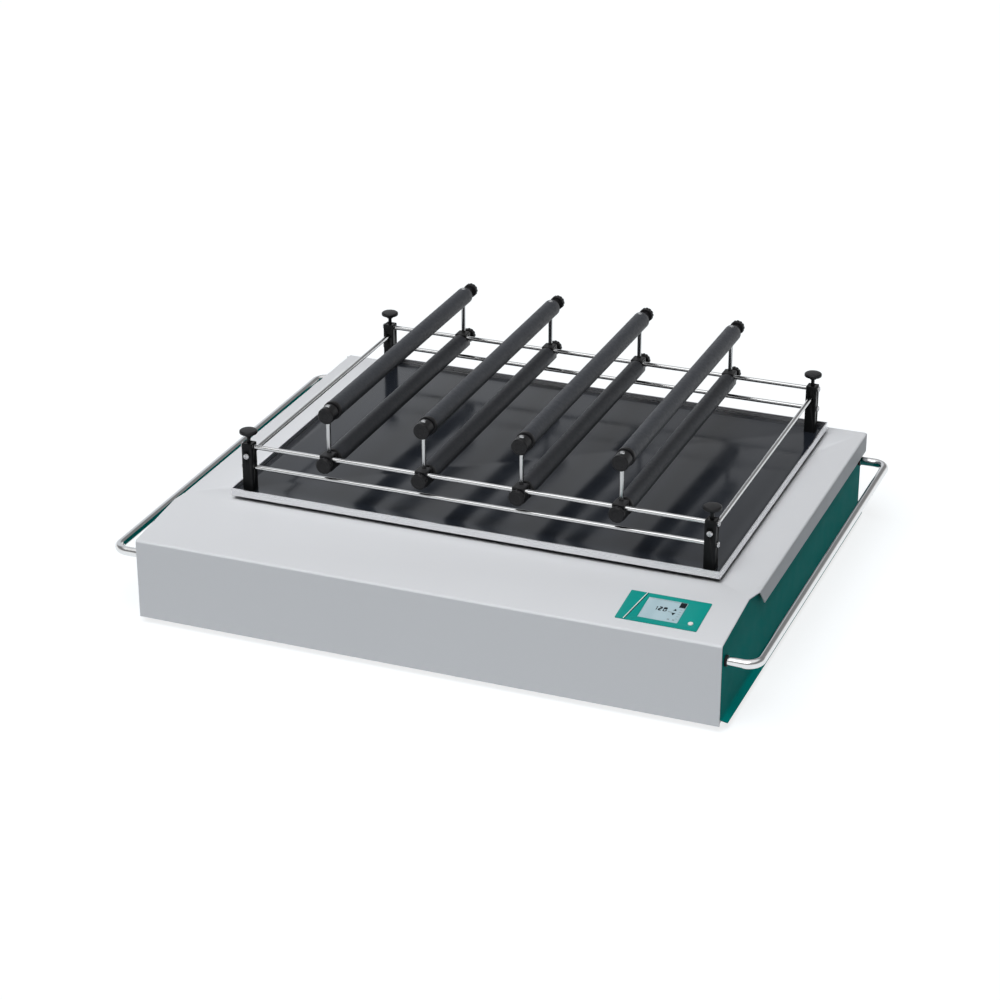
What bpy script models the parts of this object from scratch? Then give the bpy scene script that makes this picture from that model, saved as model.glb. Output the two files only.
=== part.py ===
"""Bench flask shaker, in metres, +Z up.

A low sheet-metal housing stands on four feet. Inside it a belt turns a crank, and idler cranks
keep step with it, so the tray above the hood moves in a small level circle without turning.
The tray carries four pairs of padded bars that clamp the vessels, on rods between corner posts.
The origin is the middle of the footprint, on the bench.
"""
import math

import bmesh
import bpy
from mathutils import Matrix, Vector

# Fits
FIT_GAP = 0.0003
RUNNING_GAP = 0.0004
CUT_OVERRUN = 0.003
WELD_DISTANCE = 0.000001

# Counts
ROUND_SIDES = 20
SMALL_SIDES = 12
GRIP_SIDES = 16
DRIVE_SIDES = 16
LARGE_SIDES = 32
BEND_STEPS = 6
FOLD_STEPS = 3
TUBE_RESOLUTION = 4
SHARP_ANGLE = math.radians(35)

# Housing, of folded sheet
HOUSING_WIDTH = 0.790
HOUSING_DEPTH = 0.660
FOOT_HEIGHT = 0.010
HOUSING_HEIGHT = 0.1215
SLOPE_DEPTH = 0.110
SLOPE_RISE = 0.0115
SHEET = 0.0015
FOLD_RADIUS = 0.003
LIP_OVERHANG = 0.0065
LIP_DROP = 0.0275
LIP_START = 0.133
LIP_SLANT = 0.026
REAR_RECESS = 0.004
PAN_FLANGE = 0.025
KICK_HEIGHT = 0.009
KICK_REACH = 0.007

# Feet
FOOT_RADIUS = 0.017
FOOT_TAPER = 0.002
FRONT_FOOT_INSET = 0.043
REAR_FOOT_INSET = 0.014
FOOT_SETBACK = 0.087

# Side handles, of bent tube
TUBE_RADIUS = 0.006
HANDLE_STANDOFF = 0.040
HANDLE_INSET = 0.015
HANDLE_BEND = 0.022
HANDLE_DROP = 0.026

# Control panel on the slope, placed from its front edge and the right side
FASCIA_WIDTH = 0.104
FASCIA_DEPTH = 0.064
FASCIA_THICKNESS = 0.0012
FASCIA_INSET = 0.039
FASCIA_FRONT = 0.020
WINDOW_WIDTH = 0.0504
WINDOW_DEPTH = 0.0458
WINDOW_LEFT = 0.026
WINDOW_FRONT = 0.0095
KEY_RADIUS = 0.00325
KEY_LEFT = 0.0925
KEY_FRONT = 0.0134
KEY_PROUD = 0.0012
KEY_DEPTH = 0.008

# Power inlet in the rear wall
INLET_INSET = 0.105
INLET_RISE = 0.050
INLET_FLANGE_WIDTH = 0.050
INLET_FLANGE_HEIGHT = 0.030
INLET_FLANGE = 0.002
INLET_BODY_WIDTH = 0.030
INLET_BODY_HEIGHT = 0.024
INLET_BODY_DEPTH = 0.026
SOCKET_WIDTH = 0.0245
SOCKET_HEIGHT = 0.0165
SOCKET_DEPTH = 0.017

# Orbit and tray
ORBIT_RADIUS = 0.0125
TRAY_SHIFT = 0.001
TRAY_WIDTH = 0.674
TRAY_DEPTH = 0.502
TRAY_GAP = 0.0065
RIM_HEIGHT = 0.010
RIM_SHEET = 0.0015
MAT_THICKNESS = 0.0015
MAT_CLEARANCE = 0.0006

# Corner posts and their knobs
POST_SIDE = 0.015
POST_INSET_X = 0.0191
POST_INSET_Y = 0.0204
POST_HEIGHT = 0.069
POST_EDGE = 0.0007
STUD_RADIUS = 0.0025
KNOB_RADIUS = 0.0125
KNOB_RIM = 0.004
KNOB_CONE = 0.005
KNOB_CROWN = 0.0008
KNOB_LIFT = 0.0138
KNOB_HUB_RADIUS = 0.0042

# Guard rods, heights above the tray's floor
ROD_RADIUS = 0.003
ROD_HIGH = 0.0643
ROD_LOW = 0.0350
ROD_SIDE = 0.0524
ROD_SCREW_RADIUS = 0.0042
ROD_SCREW_HEAD = 0.003

# Clamp bars: one low and one high bar in each set, both across the tray
SET_COUNT = 4
SET_PITCH = 0.134
SET_SHIFT = -0.0045
LOW_BAR_DROP = 0.0065
BAR_SPACING = 0.0661
UPRIGHT_SETBACK = 0.008
UPRIGHT_RADIUS = 0.003
UPRIGHT_PROUD = 0.0013
BAR_RADIUS = 0.012
COLLAR_RADIUS = 0.0125
COLLAR_LENGTH = 0.006
JOURNAL_RADIUS = 0.004
JOURNAL_LENGTH = 0.005
LOW_BLOCK_WIDTH = 0.017
LOW_BLOCK_FRONT = 0.005
LOW_BLOCK_BACK = 0.0135
LOW_BLOCK_UP = 0.0055
LOW_BLOCK_DOWN = 0.016
HIGH_BLOCK_RADIUS = 0.011
HIGH_BLOCK_LENGTH = 0.018
GRIP_RADIUS = 0.011
GRIP_LENGTH = 0.006
GRIP_EDGE = 0.001
GRIP_NECK_RADIUS = 0.005
GRIP_NECK = 0.001
REAR_GRIP_RADIUS = 0.010
REAR_GRIP_LENGTH = 0.008
REAR_GRIP_NECK = 0.010
HIGH_GRIP_NECK = 0.015

# Drive inside the housing, heights above the pan's floor
CRANK_SHAFT_RADIUS = 0.010
CRANK_PIN_RADIUS = 0.009
CRANK_WEB_RADIUS = 0.030
WEB_THICKNESS = 0.010
SHAFT_FOOT_CLEARANCE = 0.004
WEB_HEIGHT = 0.064
WEIGHT_REACH = 0.095
WEIGHT_WIDTH = 0.090
PIN_LENGTH = 0.022
IDLER_X = 0.240
IDLER_FRONT = 0.150
IDLER_REAR = 0.185
IDLER_SHAFT_RADIUS = 0.008
IDLER_PIN_RADIUS = 0.007
IDLER_WEB_RADIUS = 0.026
BEARING_FLANGE_RADIUS = 0.034
BEARING_FLANGE = 0.007
BEARING_BODY_RADIUS = 0.021
BEARING_BODY_HEIGHT = 0.040
BEARING_BAR_WIDTH = 0.036
CARRIER_GAP = 0.006
CARRIER_BAR_WIDTH = 0.026
CARRIER_BAR_HEIGHT = 0.012
CARRIER_BOSS_RADIUS = 0.020
PEDESTAL_RADIUS = 0.014
PEDESTAL_ARM_SHARE = 0.75
PEDESTAL_CLEARANCE = 0.003
PULLEY_RADIUS = 0.070
PULLEY_WIDTH = 0.014
PULLEY_HEIGHT = 0.045
MOTOR_PULLEY_RADIUS = 0.018
MOTOR_DISTANCE = 0.200
MOTOR_RADIUS = 0.046
MOTOR_HEIGHT = 0.040
MOTOR_SHAFT_RADIUS = 0.004
BELT_THICKNESS = 0.002
BELT_WIDTH = 0.010

# Places that follow from the sizes above
front_y = -HOUSING_DEPTH / 2
rear_y = HOUSING_DEPTH / 2
pan_z = FOOT_HEIGHT
floor_z = pan_z + SHEET
top_z = pan_z + HOUSING_HEIGHT
front_top_z = top_z - SLOPE_RISE
crease_y = front_y + SLOPE_DEPTH
rear_wall_y = rear_y - REAR_RECESS
slope_angle = math.atan2(SLOPE_RISE, SLOPE_DEPTH)
handle_z = front_top_z - HANDLE_DROP
fascia_x = HOUSING_WIDTH / 2 - FASCIA_INSET - FASCIA_WIDTH / 2
inlet_x = INLET_INSET - HOUSING_WIDTH / 2
inlet_z = pan_z + INLET_RISE
tray_y = (crease_y + rear_y) / 2 + TRAY_SHIFT
tray_z = top_z + TRAY_GAP
tray_floor_z = tray_z + RIM_SHEET
post_x = TRAY_WIDTH / 2 - POST_INSET_X
post_y = TRAY_DEPTH / 2 - POST_INSET_Y
post_foot_z = tray_floor_z + FIT_GAP
post_top_z = post_foot_z + POST_HEIGHT
high_bar_rise = BAR_SPACING - LOW_BAR_DROP
web_z = floor_z + WEB_HEIGHT
carrier_z = web_z + WEB_THICKNESS + CARRIER_GAP
pulley_z = floor_z + PULLEY_HEIGHT

QUARTER = math.pi / 2
FACING = {
    "up": (0, 0, 0),
    "side": (QUARTER, 0, QUARTER),
    "front": (QUARTER, 0, 0),
}
LEFT, RIGHT = -1, 1
FRONT, REAR = -1, 1


def clear_scene():
    for obj in list(bpy.data.objects):
        bpy.data.objects.remove(obj, do_unlink=True)


def new_collection(name):
    collection = bpy.data.collections.new(name)
    bpy.context.scene.collection.children.link(collection)
    return collection


clear_scene()
PARTS = new_collection("flask_shaker")
CUTTERS = new_collection("cutters")


def add_object(name, data, collection=PARTS):
    obj = bpy.data.objects.new(name, data)
    collection.objects.link(obj)
    return obj


def add_empty(name, place, parent=None, rotation=(0, 0, 0)):
    """An axis or a datum that pieces hang from."""
    obj = add_object(name, None)
    obj.empty_display_size = HOUSING_HEIGHT
    obj.location = place
    obj.rotation_euler = rotation
    obj.parent = parent
    return obj


def from_bmesh(name, bm):
    mesh = bpy.data.meshes.new(name)
    bm.to_mesh(mesh)
    bm.free()
    return add_object(name, mesh)


def bake(obj):
    """Replace an object's data by the mesh that its modifiers or its curve make."""
    evaluated = obj.evaluated_get(bpy.context.evaluated_depsgraph_get())
    mesh = bpy.data.meshes.new_from_object(evaluated)
    name = obj.name
    place = obj.location.copy()
    rotation = obj.rotation_euler.copy()
    bpy.data.objects.remove(obj, do_unlink=True)
    welded = bmesh.new()
    welded.from_mesh(mesh)
    bmesh.ops.remove_doubles(welded, verts=welded.verts, dist=WELD_DISTANCE)
    result = from_bmesh(name, welded)
    result.location = place
    result.rotation_euler = rotation
    return result


def block(name, size, place=(0, 0, 0)):
    bm = bmesh.new()
    bmesh.ops.create_cube(bm, size=1)
    bmesh.ops.scale(bm, vec=Vector(size), verts=bm.verts)
    obj = from_bmesh(name, bm)
    obj.location = place
    return obj


def block_between(name, low, high):
    """A block from its lowest to its highest corner."""
    low = Vector(low)
    high = Vector(high)
    return block(name, high - low, (low + high) / 2)


def rod(name, radius, length, place=(0, 0, 0), axis="Z", sides=ROUND_SIDES):
    """A round bar whose middle is at place."""
    bm = bmesh.new()
    bmesh.ops.create_cone(bm, cap_ends=True, segments=sides, radius1=radius, radius2=radius, depth=length)
    obj = from_bmesh(name, bm)
    obj.location = place
    obj.rotation_euler = {"X": (0, QUARTER, 0), "Y": (QUARTER, 0, 0), "Z": (0, 0, 0)}[axis]
    return obj


def upright_rod(name, radius, low, high, x=0, y=0, sides=ROUND_SIDES):
    return rod(name, radius, high - low, (x, y, (low + high) / 2), sides=sides)


def drive_rod(name, radius, low, high, x=0, y=0):
    """An upright rod of the drive, inside the housing."""
    return upright_rod(name, radius, low, high, x, y, DRIVE_SIDES)


def turned(name, profile, sides=ROUND_SIDES, ring=False):
    """Turn (radius, height) points about Z. They run from the top down the outer side."""
    bm = bmesh.new()
    verts = [bm.verts.new((radius, 0, height)) for radius, height in profile]
    for first, second in zip(verts, verts[1:]):
        bm.edges.new((first, second))
    if ring:
        bm.edges.new((verts[-1], verts[0]))
    obj = from_bmesh(name, bm)
    screw = obj.modifiers.new("turn", "SCREW")
    screw.steps = sides
    screw.render_steps = sides
    screw.use_merge_vertices = True
    screw.merge_threshold = WELD_DISTANCE
    return bake(obj)


def plate(name, outlines, thickness, facing, place=(0, 0, 0)):
    """A flat or folded sheet: closed outlines, extruded evenly to both sides."""
    curve = bpy.data.curves.new(name, "CURVE")
    curve.dimensions = "2D"
    curve.fill_mode = "BOTH"
    curve.extrude = thickness / 2
    for outline in outlines:
        spline = curve.splines.new("POLY")
        spline.points.add(len(outline) - 1)
        for point, (across, up) in zip(spline.points, outline):
            point.co = (across, up, 0, 1)
        spline.use_cyclic_u = True
    obj = bake(add_object(name, curve))
    obj.rotation_euler = FACING[facing]
    obj.location = place
    return obj


def rounded_path(path, radius, steps):
    """An open path whose inner corners are arcs of the radius."""
    corners = [Vector(point) for point in path]
    points = [corners[0]]
    for before, corner, after in zip(corners, corners[1:], corners[2:]):
        inward = (before - corner).normalized()
        outward = (after - corner).normalized()
        half = inward.angle(outward) / 2
        centre = corner + (inward + outward).normalized() * (radius / math.sin(half))
        start = corner + inward * (radius / math.tan(half)) - centre
        end = corner + outward * (radius / math.tan(half)) - centre
        turn = start.angle_signed(end)
        for step in range(steps + 1):
            share = step / steps
            angle = math.atan2(start.y, start.x) - turn * share
            points.append(centre + Vector((math.cos(angle), math.sin(angle))) * radius)
    points.append(corners[-1])
    return points


def offset_path(path, distance):
    """The open path, moved to its right by the distance, with mitred corners."""
    points = [Vector(point) for point in path]
    normals = []
    for first, second in zip(points, points[1:]):
        along = (second - first).normalized()
        normals.append(Vector((along.y, -along.x)))
    moved = [points[0] + normals[0] * distance]
    for point, first, second in zip(points[1:-1], normals, normals[1:]):
        middle = (first + second).normalized()
        moved.append(point + middle * (distance / middle.dot(first)))
    moved.append(points[-1] + normals[-1] * distance)
    return moved


def folded(name, path, thickness, length, facing, place=(0, 0, 0)):
    """A sheet folded along a path, whose thickness lies to the path's right."""
    points = [Vector(point) for point in path]
    outline = points + offset_path(points, thickness)[::-1]
    return plate(name, [outline], length, facing, place)


def join(name, pieces):
    """One object of several separate shapes, as a tool for one cut."""
    bm = bmesh.new()
    for piece in pieces:
        piece.data.transform(piece.matrix_basis)
        bm.from_mesh(piece.data)
        bpy.data.objects.remove(piece, do_unlink=True)
    return from_bmesh(name, bm)


def bake_turn(obj, angle):
    """Turn a piece about X within its mesh, so that it lies on its joint's axis."""
    obj.data.transform(Matrix.Rotation(angle, 4, "X"))


def combine(target, tool, operation):
    """Add a Boolean with a tool object, which moves to the cutters and is never rendered."""
    PARTS.objects.unlink(tool)
    CUTTERS.objects.link(tool)
    tool.hide_render = True
    tool.display_type = "WIRE"
    tool.name = f"{target.name}_{operation.lower()}_{len(target.modifiers)}"
    tool.parent = target.parent
    boolean = target.modifiers.new(operation.lower(), "BOOLEAN")
    boolean.operation = operation
    boolean.object = tool


def cut(target, tool):
    combine(target, tool, "DIFFERENCE")


def unite(target, tool):
    combine(target, tool, "UNION")


def bevel(obj, width):
    modifier = obj.modifiers.new("edges", "BEVEL")
    modifier.width = width
    modifier.segments = 1
    modifier.limit_method = "ANGLE"


def smooth(obj):
    obj.data.shade_smooth()
    obj.data.set_sharp_from_angle(angle=SHARP_ANGLE)


def finish(obj, colour, roughness, metallic=0.0, parent=None):
    """Give a piece its own finish and its parent."""
    surface = bpy.data.materials.new(f"{obj.name}_finish")
    surface.use_nodes = True
    shader = surface.node_tree.nodes["Principled BSDF"]
    shader.inputs["Base Color"].default_value = (*colour, 1)
    shader.inputs["Roughness"].default_value = roughness
    shader.inputs["Metallic"].default_value = metallic
    obj.data.materials.append(surface)
    obj.parent = parent
    for modifier in obj.modifiers:
        if modifier.type == "BOOLEAN":
            modifier.object.parent = parent
    return obj


def painted_hood(obj):
    return finish(obj, (0.62, 0.64, 0.67), 0.35)


def steel(obj, parent=None):
    return finish(obj, (0.74, 0.75, 0.76), 0.22, 1.0, parent)


def black_plastic(obj, parent=None):
    return finish(obj, (0.012, 0.012, 0.014), 0.42, 0.0, parent)


def cast_metal(obj, parent=None):
    return finish(obj, (0.45, 0.46, 0.47), 0.45, 1.0, parent)


def corners():
    """Each corner's name, with its side and its end."""
    names = {(FRONT, LEFT): "front_left", (FRONT, RIGHT): "front_right"}
    names |= {(REAR, LEFT): "rear_left", (REAR, RIGHT): "rear_right"}
    return [(name, side, end) for (end, side), name in names.items()]


def idler_places():
    """Axes of the three idler cranks, from the main crank's axis."""
    return [(-IDLER_X, -IDLER_FRONT), (IDLER_X, -IDLER_FRONT), (0, IDLER_REAR)]


def pedestal_places():
    return [(x * PEDESTAL_ARM_SHARE, y * PEDESTAL_ARM_SHARE) for x, y in idler_places()]


def arm(name, x, y, width, low, high):
    """A flat bar from the axis at zero to the one at x and y."""
    reach = math.hypot(x, y)
    bar = block(name, (reach, width, high - low), (x / 2, y / 2, (low + high) / 2))
    bar.rotation_euler = (0, 0, math.atan2(y, x))
    return bar


def make_hood():
    """A solid of the outer shape, cut to a sheet: front wall, slope, flat top and lips behind the step."""
    wide = HOUSING_WIDTH / 2 + LIP_OVERHANG
    narrow = HOUSING_WIDTH / 2
    beyond = wide + CUT_OVERRUN
    step_y = front_y + LIP_START
    lip_z = top_z - LIP_DROP
    low_z = pan_z - CUT_OVERRUN
    behind_y = rear_y + CUT_OVERRUN
    fold = rounded_path(
        [(front_y, pan_z), (front_y, front_top_z), (crease_y, top_z), (rear_y, top_z), (rear_y, pan_z)],
        FOLD_RADIUS, FOLD_STEPS)
    hood = plate("hood", [fold], 2 * wide, "side")
    inside = offset_path(fold, SHEET)
    inside[0].y = low_z
    inside[-1].y = low_z
    cut(hood, plate("inside", [inside], 2 * (wide - SHEET), "side"))
    below_lips = [
        (crease_y, low_z),
        (behind_y, low_z),
        (behind_y, lip_z),
        (step_y + LIP_SLANT, lip_z),
        (step_y, top_z - FOLD_RADIUS),
        (crease_y + FOLD_RADIUS, top_z - FOLD_RADIUS),
    ]
    cut(hood, plate("below_lips", [below_lips], 2 * beyond, "side"))
    for side in (LEFT, RIGHT):
        beside_slope = [
            (side * narrow, front_y - CUT_OVERRUN),
            (side * beyond, front_y - CUT_OVERRUN),
            (side * beyond, step_y),
            (side * wide, step_y),
            (side * narrow, crease_y + FOLD_RADIUS),
        ]
        cut(hood, plate("beside_slope", [beside_slope], 2 * beyond, "up"))
    hole_radius = PEDESTAL_RADIUS + ORBIT_RADIUS + PEDESTAL_CLEARANCE
    holes = []
    for x, y in pedestal_places():
        place = (x, tray_y + y, top_z)
        holes.append(rod("hole", hole_radius, SHEET + CUT_OVERRUN, place, sides=LARGE_SIDES))
    cut(hood, join("pedestal_holes", holes))
    key_hole = rod("key_hole", KEY_RADIUS + RUNNING_GAP, SHEET + CUT_OVERRUN + CUT_OVERRUN)
    key_hole.location = key_place()
    key_hole.rotation_euler = (slope_angle, 0, 0)
    cut(hood, key_hole)
    painted_hood(hood)


def on_slope(x, along, height):
    """World place of a point that is measured along the slope from the front edge."""
    y = front_y + along * math.cos(slope_angle) - height * math.sin(slope_angle)
    z = front_top_z + along * math.sin(slope_angle) + height * math.cos(slope_angle)
    return (x, y, z)


def key_place():
    return on_slope(fascia_x - FASCIA_WIDTH / 2 + KEY_LEFT, FASCIA_FRONT + KEY_FRONT, 0)


def make_base_pan():
    """Floor with low flanges at the front and sides, and the rear wall."""
    half_width = HOUSING_WIDTH / 2 - SHEET - FIT_GAP
    inner_width = half_width - SHEET
    pan_front = front_y + SHEET + FIT_GAP
    wall_top = top_z - SHEET - FIT_GAP
    wall_inside = rear_wall_y - SHEET
    above = wall_top + CUT_OVERRUN
    beside = half_width + CUT_OVERRUN
    pan = block_between("base_pan", (-half_width, pan_front, pan_z), (half_width, rear_wall_y, wall_top))
    inside = block_between(
        "pan_inside", (-inner_width, pan_front + SHEET, floor_z), (inner_width, wall_inside, above))
    cut(pan, inside)
    over_flanges = block_between(
        "over_flanges", (-beside, pan_front - CUT_OVERRUN, pan_z + PAN_FLANGE), (beside, wall_inside, above))
    cut(pan, over_flanges)
    hole = (INLET_BODY_WIDTH + 2 * FIT_GAP, SHEET + CUT_OVERRUN, INLET_BODY_HEIGHT + 2 * FIT_GAP)
    cut(pan, block("inlet_hole", hole, (inlet_x, rear_wall_y - SHEET / 2, inlet_z)))
    finish(pan, (0.30, 0.31, 0.32), 0.4, 1.0)


def make_side_panel(name, side):
    """Side wall under the hood, with an outward kick along its lower edge."""
    face_x = HOUSING_WIDTH / 2
    start = front_y + SHEET + FIT_GAP
    end = rear_wall_y - FIT_GAP
    drop = (SHEET + FIT_GAP) / math.cos(slope_angle)
    slope = math.tan(slope_angle)
    level = top_z - SHEET - FIT_GAP
    outline = [
        (start, pan_z + KICK_HEIGHT),
        (end, pan_z + KICK_HEIGHT),
        (end, level),
        (crease_y + FOLD_RADIUS, level),
        (crease_y - FOLD_RADIUS, top_z - FOLD_RADIUS * slope - drop),
        (start + FOLD_RADIUS, front_top_z + (SHEET + FOLD_RADIUS) * slope - drop),
        (start, front_top_z - FOLD_RADIUS),
    ]
    wall = plate(name, [outline], SHEET, "side", (side * (face_x - SHEET / 2), 0, 0))
    kick = [
        (side * (face_x - SHEET), pan_z + KICK_HEIGHT + SHEET),
        (side * face_x, pan_z + KICK_HEIGHT + SHEET),
        (side * (face_x + KICK_REACH), pan_z),
        (side * (face_x + KICK_REACH - SHEET), pan_z),
    ]
    middle_y = (start + end) / 2
    unite(wall, plate("kick", [kick], end - start, "front", (0, middle_y, 0)))
    finish(wall, (0.0, 0.072, 0.060), 0.38)


def make_handle(name, side):
    """Bent tube whose two ends meet the side panel."""
    root_x = HOUSING_WIDTH / 2 + FIT_GAP
    run_x = HOUSING_WIDTH / 2 + HANDLE_STANDOFF
    near_y = front_y + HANDLE_INSET
    far_y = rear_y - HANDLE_INSET
    path = [(root_x, near_y), (run_x, near_y), (run_x, far_y), (root_x, far_y)]
    points = rounded_path(path, HANDLE_BEND, BEND_STEPS)
    curve = bpy.data.curves.new(name, "CURVE")
    curve.dimensions = "3D"
    curve.bevel_depth = TUBE_RADIUS
    curve.bevel_resolution = TUBE_RESOLUTION
    curve.use_fill_caps = True
    spline = curve.splines.new("POLY")
    spline.points.add(len(points) - 1)
    for point, (x, y) in zip(spline.points, points):
        point.co = (side * x, y, handle_z, 1)
    steel(add_object(name, curve))


def make_feet():
    profile = [
        (0, FOOT_HEIGHT - FIT_GAP),
        (FOOT_RADIUS, FOOT_HEIGHT - FIT_GAP),
        (FOOT_RADIUS, FOOT_TAPER),
        (FOOT_RADIUS - FOOT_TAPER, 0),
        (0, 0),
    ]
    for name, side, end in corners():
        foot = turned(f"foot_{name}", profile)
        inset = FRONT_FOOT_INSET if end == FRONT else REAR_FOOT_INSET
        foot.location = (side * (HOUSING_WIDTH / 2 - inset), end * (HOUSING_DEPTH / 2 - FOOT_SETBACK), 0)
        smooth(foot)
        finish(foot, (0.015, 0.015, 0.015), 0.8)


def make_control_panel():
    """Fascia film on the slope, the window let into it, and the key."""
    slope = add_empty("slope_datum", (0, front_y, front_top_z), rotation=(slope_angle, 0, 0))
    middle = FASCIA_FRONT + FASCIA_DEPTH / 2
    height = FIT_GAP + FASCIA_THICKNESS / 2
    fascia_size = (FASCIA_WIDTH, FASCIA_DEPTH, FASCIA_THICKNESS)
    fascia = block("control_fascia", fascia_size, (fascia_x, middle, height))
    left = fascia_x - FASCIA_WIDTH / 2
    window_x = left + WINDOW_LEFT + WINDOW_WIDTH / 2
    window_y = FASCIA_FRONT + WINDOW_FRONT + WINDOW_DEPTH / 2
    opening = (WINDOW_WIDTH + 2 * FIT_GAP, WINDOW_DEPTH + 2 * FIT_GAP, FASCIA_THICKNESS + CUT_OVERRUN)
    key_x = left + KEY_LEFT
    key_y = FASCIA_FRONT + KEY_FRONT
    cut(fascia, block("window_opening", opening, (window_x, window_y, height)))
    key_opening = rod("key_opening", KEY_RADIUS + RUNNING_GAP, FASCIA_THICKNESS + CUT_OVERRUN)
    key_opening.location = (key_x, key_y, height)
    cut(fascia, key_opening)
    finish(fascia, (0.0, 0.262, 0.216), 0.3, parent=slope)
    window_size = (WINDOW_WIDTH, WINDOW_DEPTH, FASCIA_THICKNESS)
    window = block("display_window", window_size, (window_x, window_y, height))
    finish(window, (0.42, 0.50, 0.55), 0.12, parent=slope)
    key_top = FIT_GAP + FASCIA_THICKNESS + KEY_PROUD
    key_profile = [(0, key_top), (KEY_RADIUS, key_top), (KEY_RADIUS, -KEY_DEPTH), (0, -KEY_DEPTH)]
    key = turned("power_key", key_profile)
    key.location = (key_x, key_y, 0)
    smooth(key)
    finish(key, (0.70, 0.76, 0.74), 0.35, parent=slope)


def make_power_inlet():
    """Appliance inlet: a flange behind the rear wall's outer face and a socket into the housing."""
    flange_y = rear_wall_y + FIT_GAP
    flange_size = (INLET_FLANGE_WIDTH, INLET_FLANGE, INLET_FLANGE_HEIGHT)
    inlet = block("power_inlet", flange_size, (inlet_x, flange_y + INLET_FLANGE / 2, inlet_z))
    body_low = (inlet_x - INLET_BODY_WIDTH / 2, flange_y - INLET_BODY_DEPTH, inlet_z - INLET_BODY_HEIGHT / 2)
    body_high = (inlet_x + INLET_BODY_WIDTH / 2, flange_y + INLET_FLANGE / 2, inlet_z + INLET_BODY_HEIGHT / 2)
    unite(inlet, block_between("inlet_body", body_low, body_high))
    mouth_y = flange_y + INLET_FLANGE
    socket_low = (inlet_x - SOCKET_WIDTH / 2, mouth_y - SOCKET_DEPTH, inlet_z - SOCKET_HEIGHT / 2)
    socket_high = (inlet_x + SOCKET_WIDTH / 2, mouth_y + CUT_OVERRUN, inlet_z + SOCKET_HEIGHT / 2)
    cut(inlet, block_between("inlet_socket", socket_low, socket_high))
    black_plastic(inlet)


def make_bearing_frame():
    """One casting on the floor: a bearing housing for each crank, and the bars between them."""
    low = floor_z + FIT_GAP
    foot_top = low + BEARING_FLANGE
    body_top = low + BEARING_BODY_HEIGHT
    frame = drive_rod("bearing_frame", BEARING_FLANGE_RADIUS, low, foot_top, y=tray_y)
    seats = [(0, tray_y, CRANK_SHAFT_RADIUS)]
    for x, y in idler_places():
        seats.append((x, tray_y + y, IDLER_SHAFT_RADIUS))
        bar = arm("bearing_bar", x, y, BEARING_BAR_WIDTH, low, foot_top)
        bar.location.y += tray_y
        unite(frame, bar)
        unite(frame, drive_rod("bearing_foot", BEARING_FLANGE_RADIUS, low, foot_top, x, tray_y + y))
    bores = []
    bore_low = low - CUT_OVERRUN
    bore_high = body_top + CUT_OVERRUN
    for x, y, shaft_radius in seats:
        unite(frame, drive_rod("bearing_body", BEARING_BODY_RADIUS, low, body_top, x, y))
        bores.append(drive_rod("bore", shaft_radius + RUNNING_GAP, bore_low, bore_high, x, y))
    cut(frame, join("bearing_bores", bores))
    smooth(frame)
    cast_metal(frame)


def make_motor():
    """Motor on the floor, with its shaft up, and the pulley on it."""
    low = floor_z + FIT_GAP
    motor = upright_rod("drive_motor", MOTOR_RADIUS, low, low + MOTOR_HEIGHT, sides=LARGE_SIDES)
    axis = add_empty("motor_axis", (-MOTOR_DISTANCE, tray_y, 0))
    shaft_top = pulley_z + PULLEY_WIDTH
    unite(motor, drive_rod("motor_shaft", MOTOR_SHAFT_RADIUS, low + MOTOR_HEIGHT / 2, shaft_top))
    smooth(motor)
    finish(motor, (0.03, 0.03, 0.035), 0.5, parent=axis)
    bore = MOTOR_SHAFT_RADIUS + FIT_GAP
    profile = [
        (bore, pulley_z + PULLEY_WIDTH),
        (MOTOR_PULLEY_RADIUS, pulley_z + PULLEY_WIDTH),
        (MOTOR_PULLEY_RADIUS, pulley_z),
        (bore, pulley_z),
    ]
    pulley = turned("motor_pulley", profile, DRIVE_SIDES, ring=True)
    smooth(pulley)
    cast_metal(pulley, axis)


def arc(centre_x, radius, start, end, steps):
    """Points on an arc about (centre_x, 0)."""
    angles = [start + (end - start) * step / steps for step in range(steps + 1)]
    return [(centre_x + radius * math.cos(angle), radius * math.sin(angle)) for angle in angles]


def belt_outline(extra):
    """Line round both pulleys at a distance outside them."""
    open_angle = math.acos((PULLEY_RADIUS - MOTOR_PULLEY_RADIUS) / MOTOR_DISTANCE)
    leave = math.pi - open_angle
    meet = math.pi + open_angle
    large = arc(0, PULLEY_RADIUS + extra, -leave, leave, ROUND_SIDES)
    small = arc(-MOTOR_DISTANCE, MOTOR_PULLEY_RADIUS + extra, leave, meet, SMALL_SIDES)
    return large + small


def make_belt():
    inside = belt_outline(FIT_GAP)
    outside = belt_outline(FIT_GAP + BELT_THICKNESS)
    middle_z = pulley_z + PULLEY_WIDTH / 2
    belt = plate("drive_belt", [outside, inside], BELT_WIDTH, "up", (0, tray_y, middle_z))
    finish(belt, (0.02, 0.02, 0.02), 0.7)


def crank_pieces(name, shaft_radius, web_radius, pin_radius):
    """Shaft, web and offset pin of a crank that turns about Z at its own origin."""
    shaft_low = floor_z + SHAFT_FOOT_CLEARANCE
    crank = drive_rod(name, shaft_radius, shaft_low, web_z + WEB_THICKNESS / 2)
    unite(crank, drive_rod("web", web_radius, web_z, web_z + WEB_THICKNESS))
    pin_low = web_z + WEB_THICKNESS / 2
    pin_high = web_z + WEB_THICKNESS + PIN_LENGTH
    unite(crank, drive_rod("pin", pin_radius, pin_low, pin_high, ORBIT_RADIUS))
    smooth(crank)
    return crank


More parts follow.
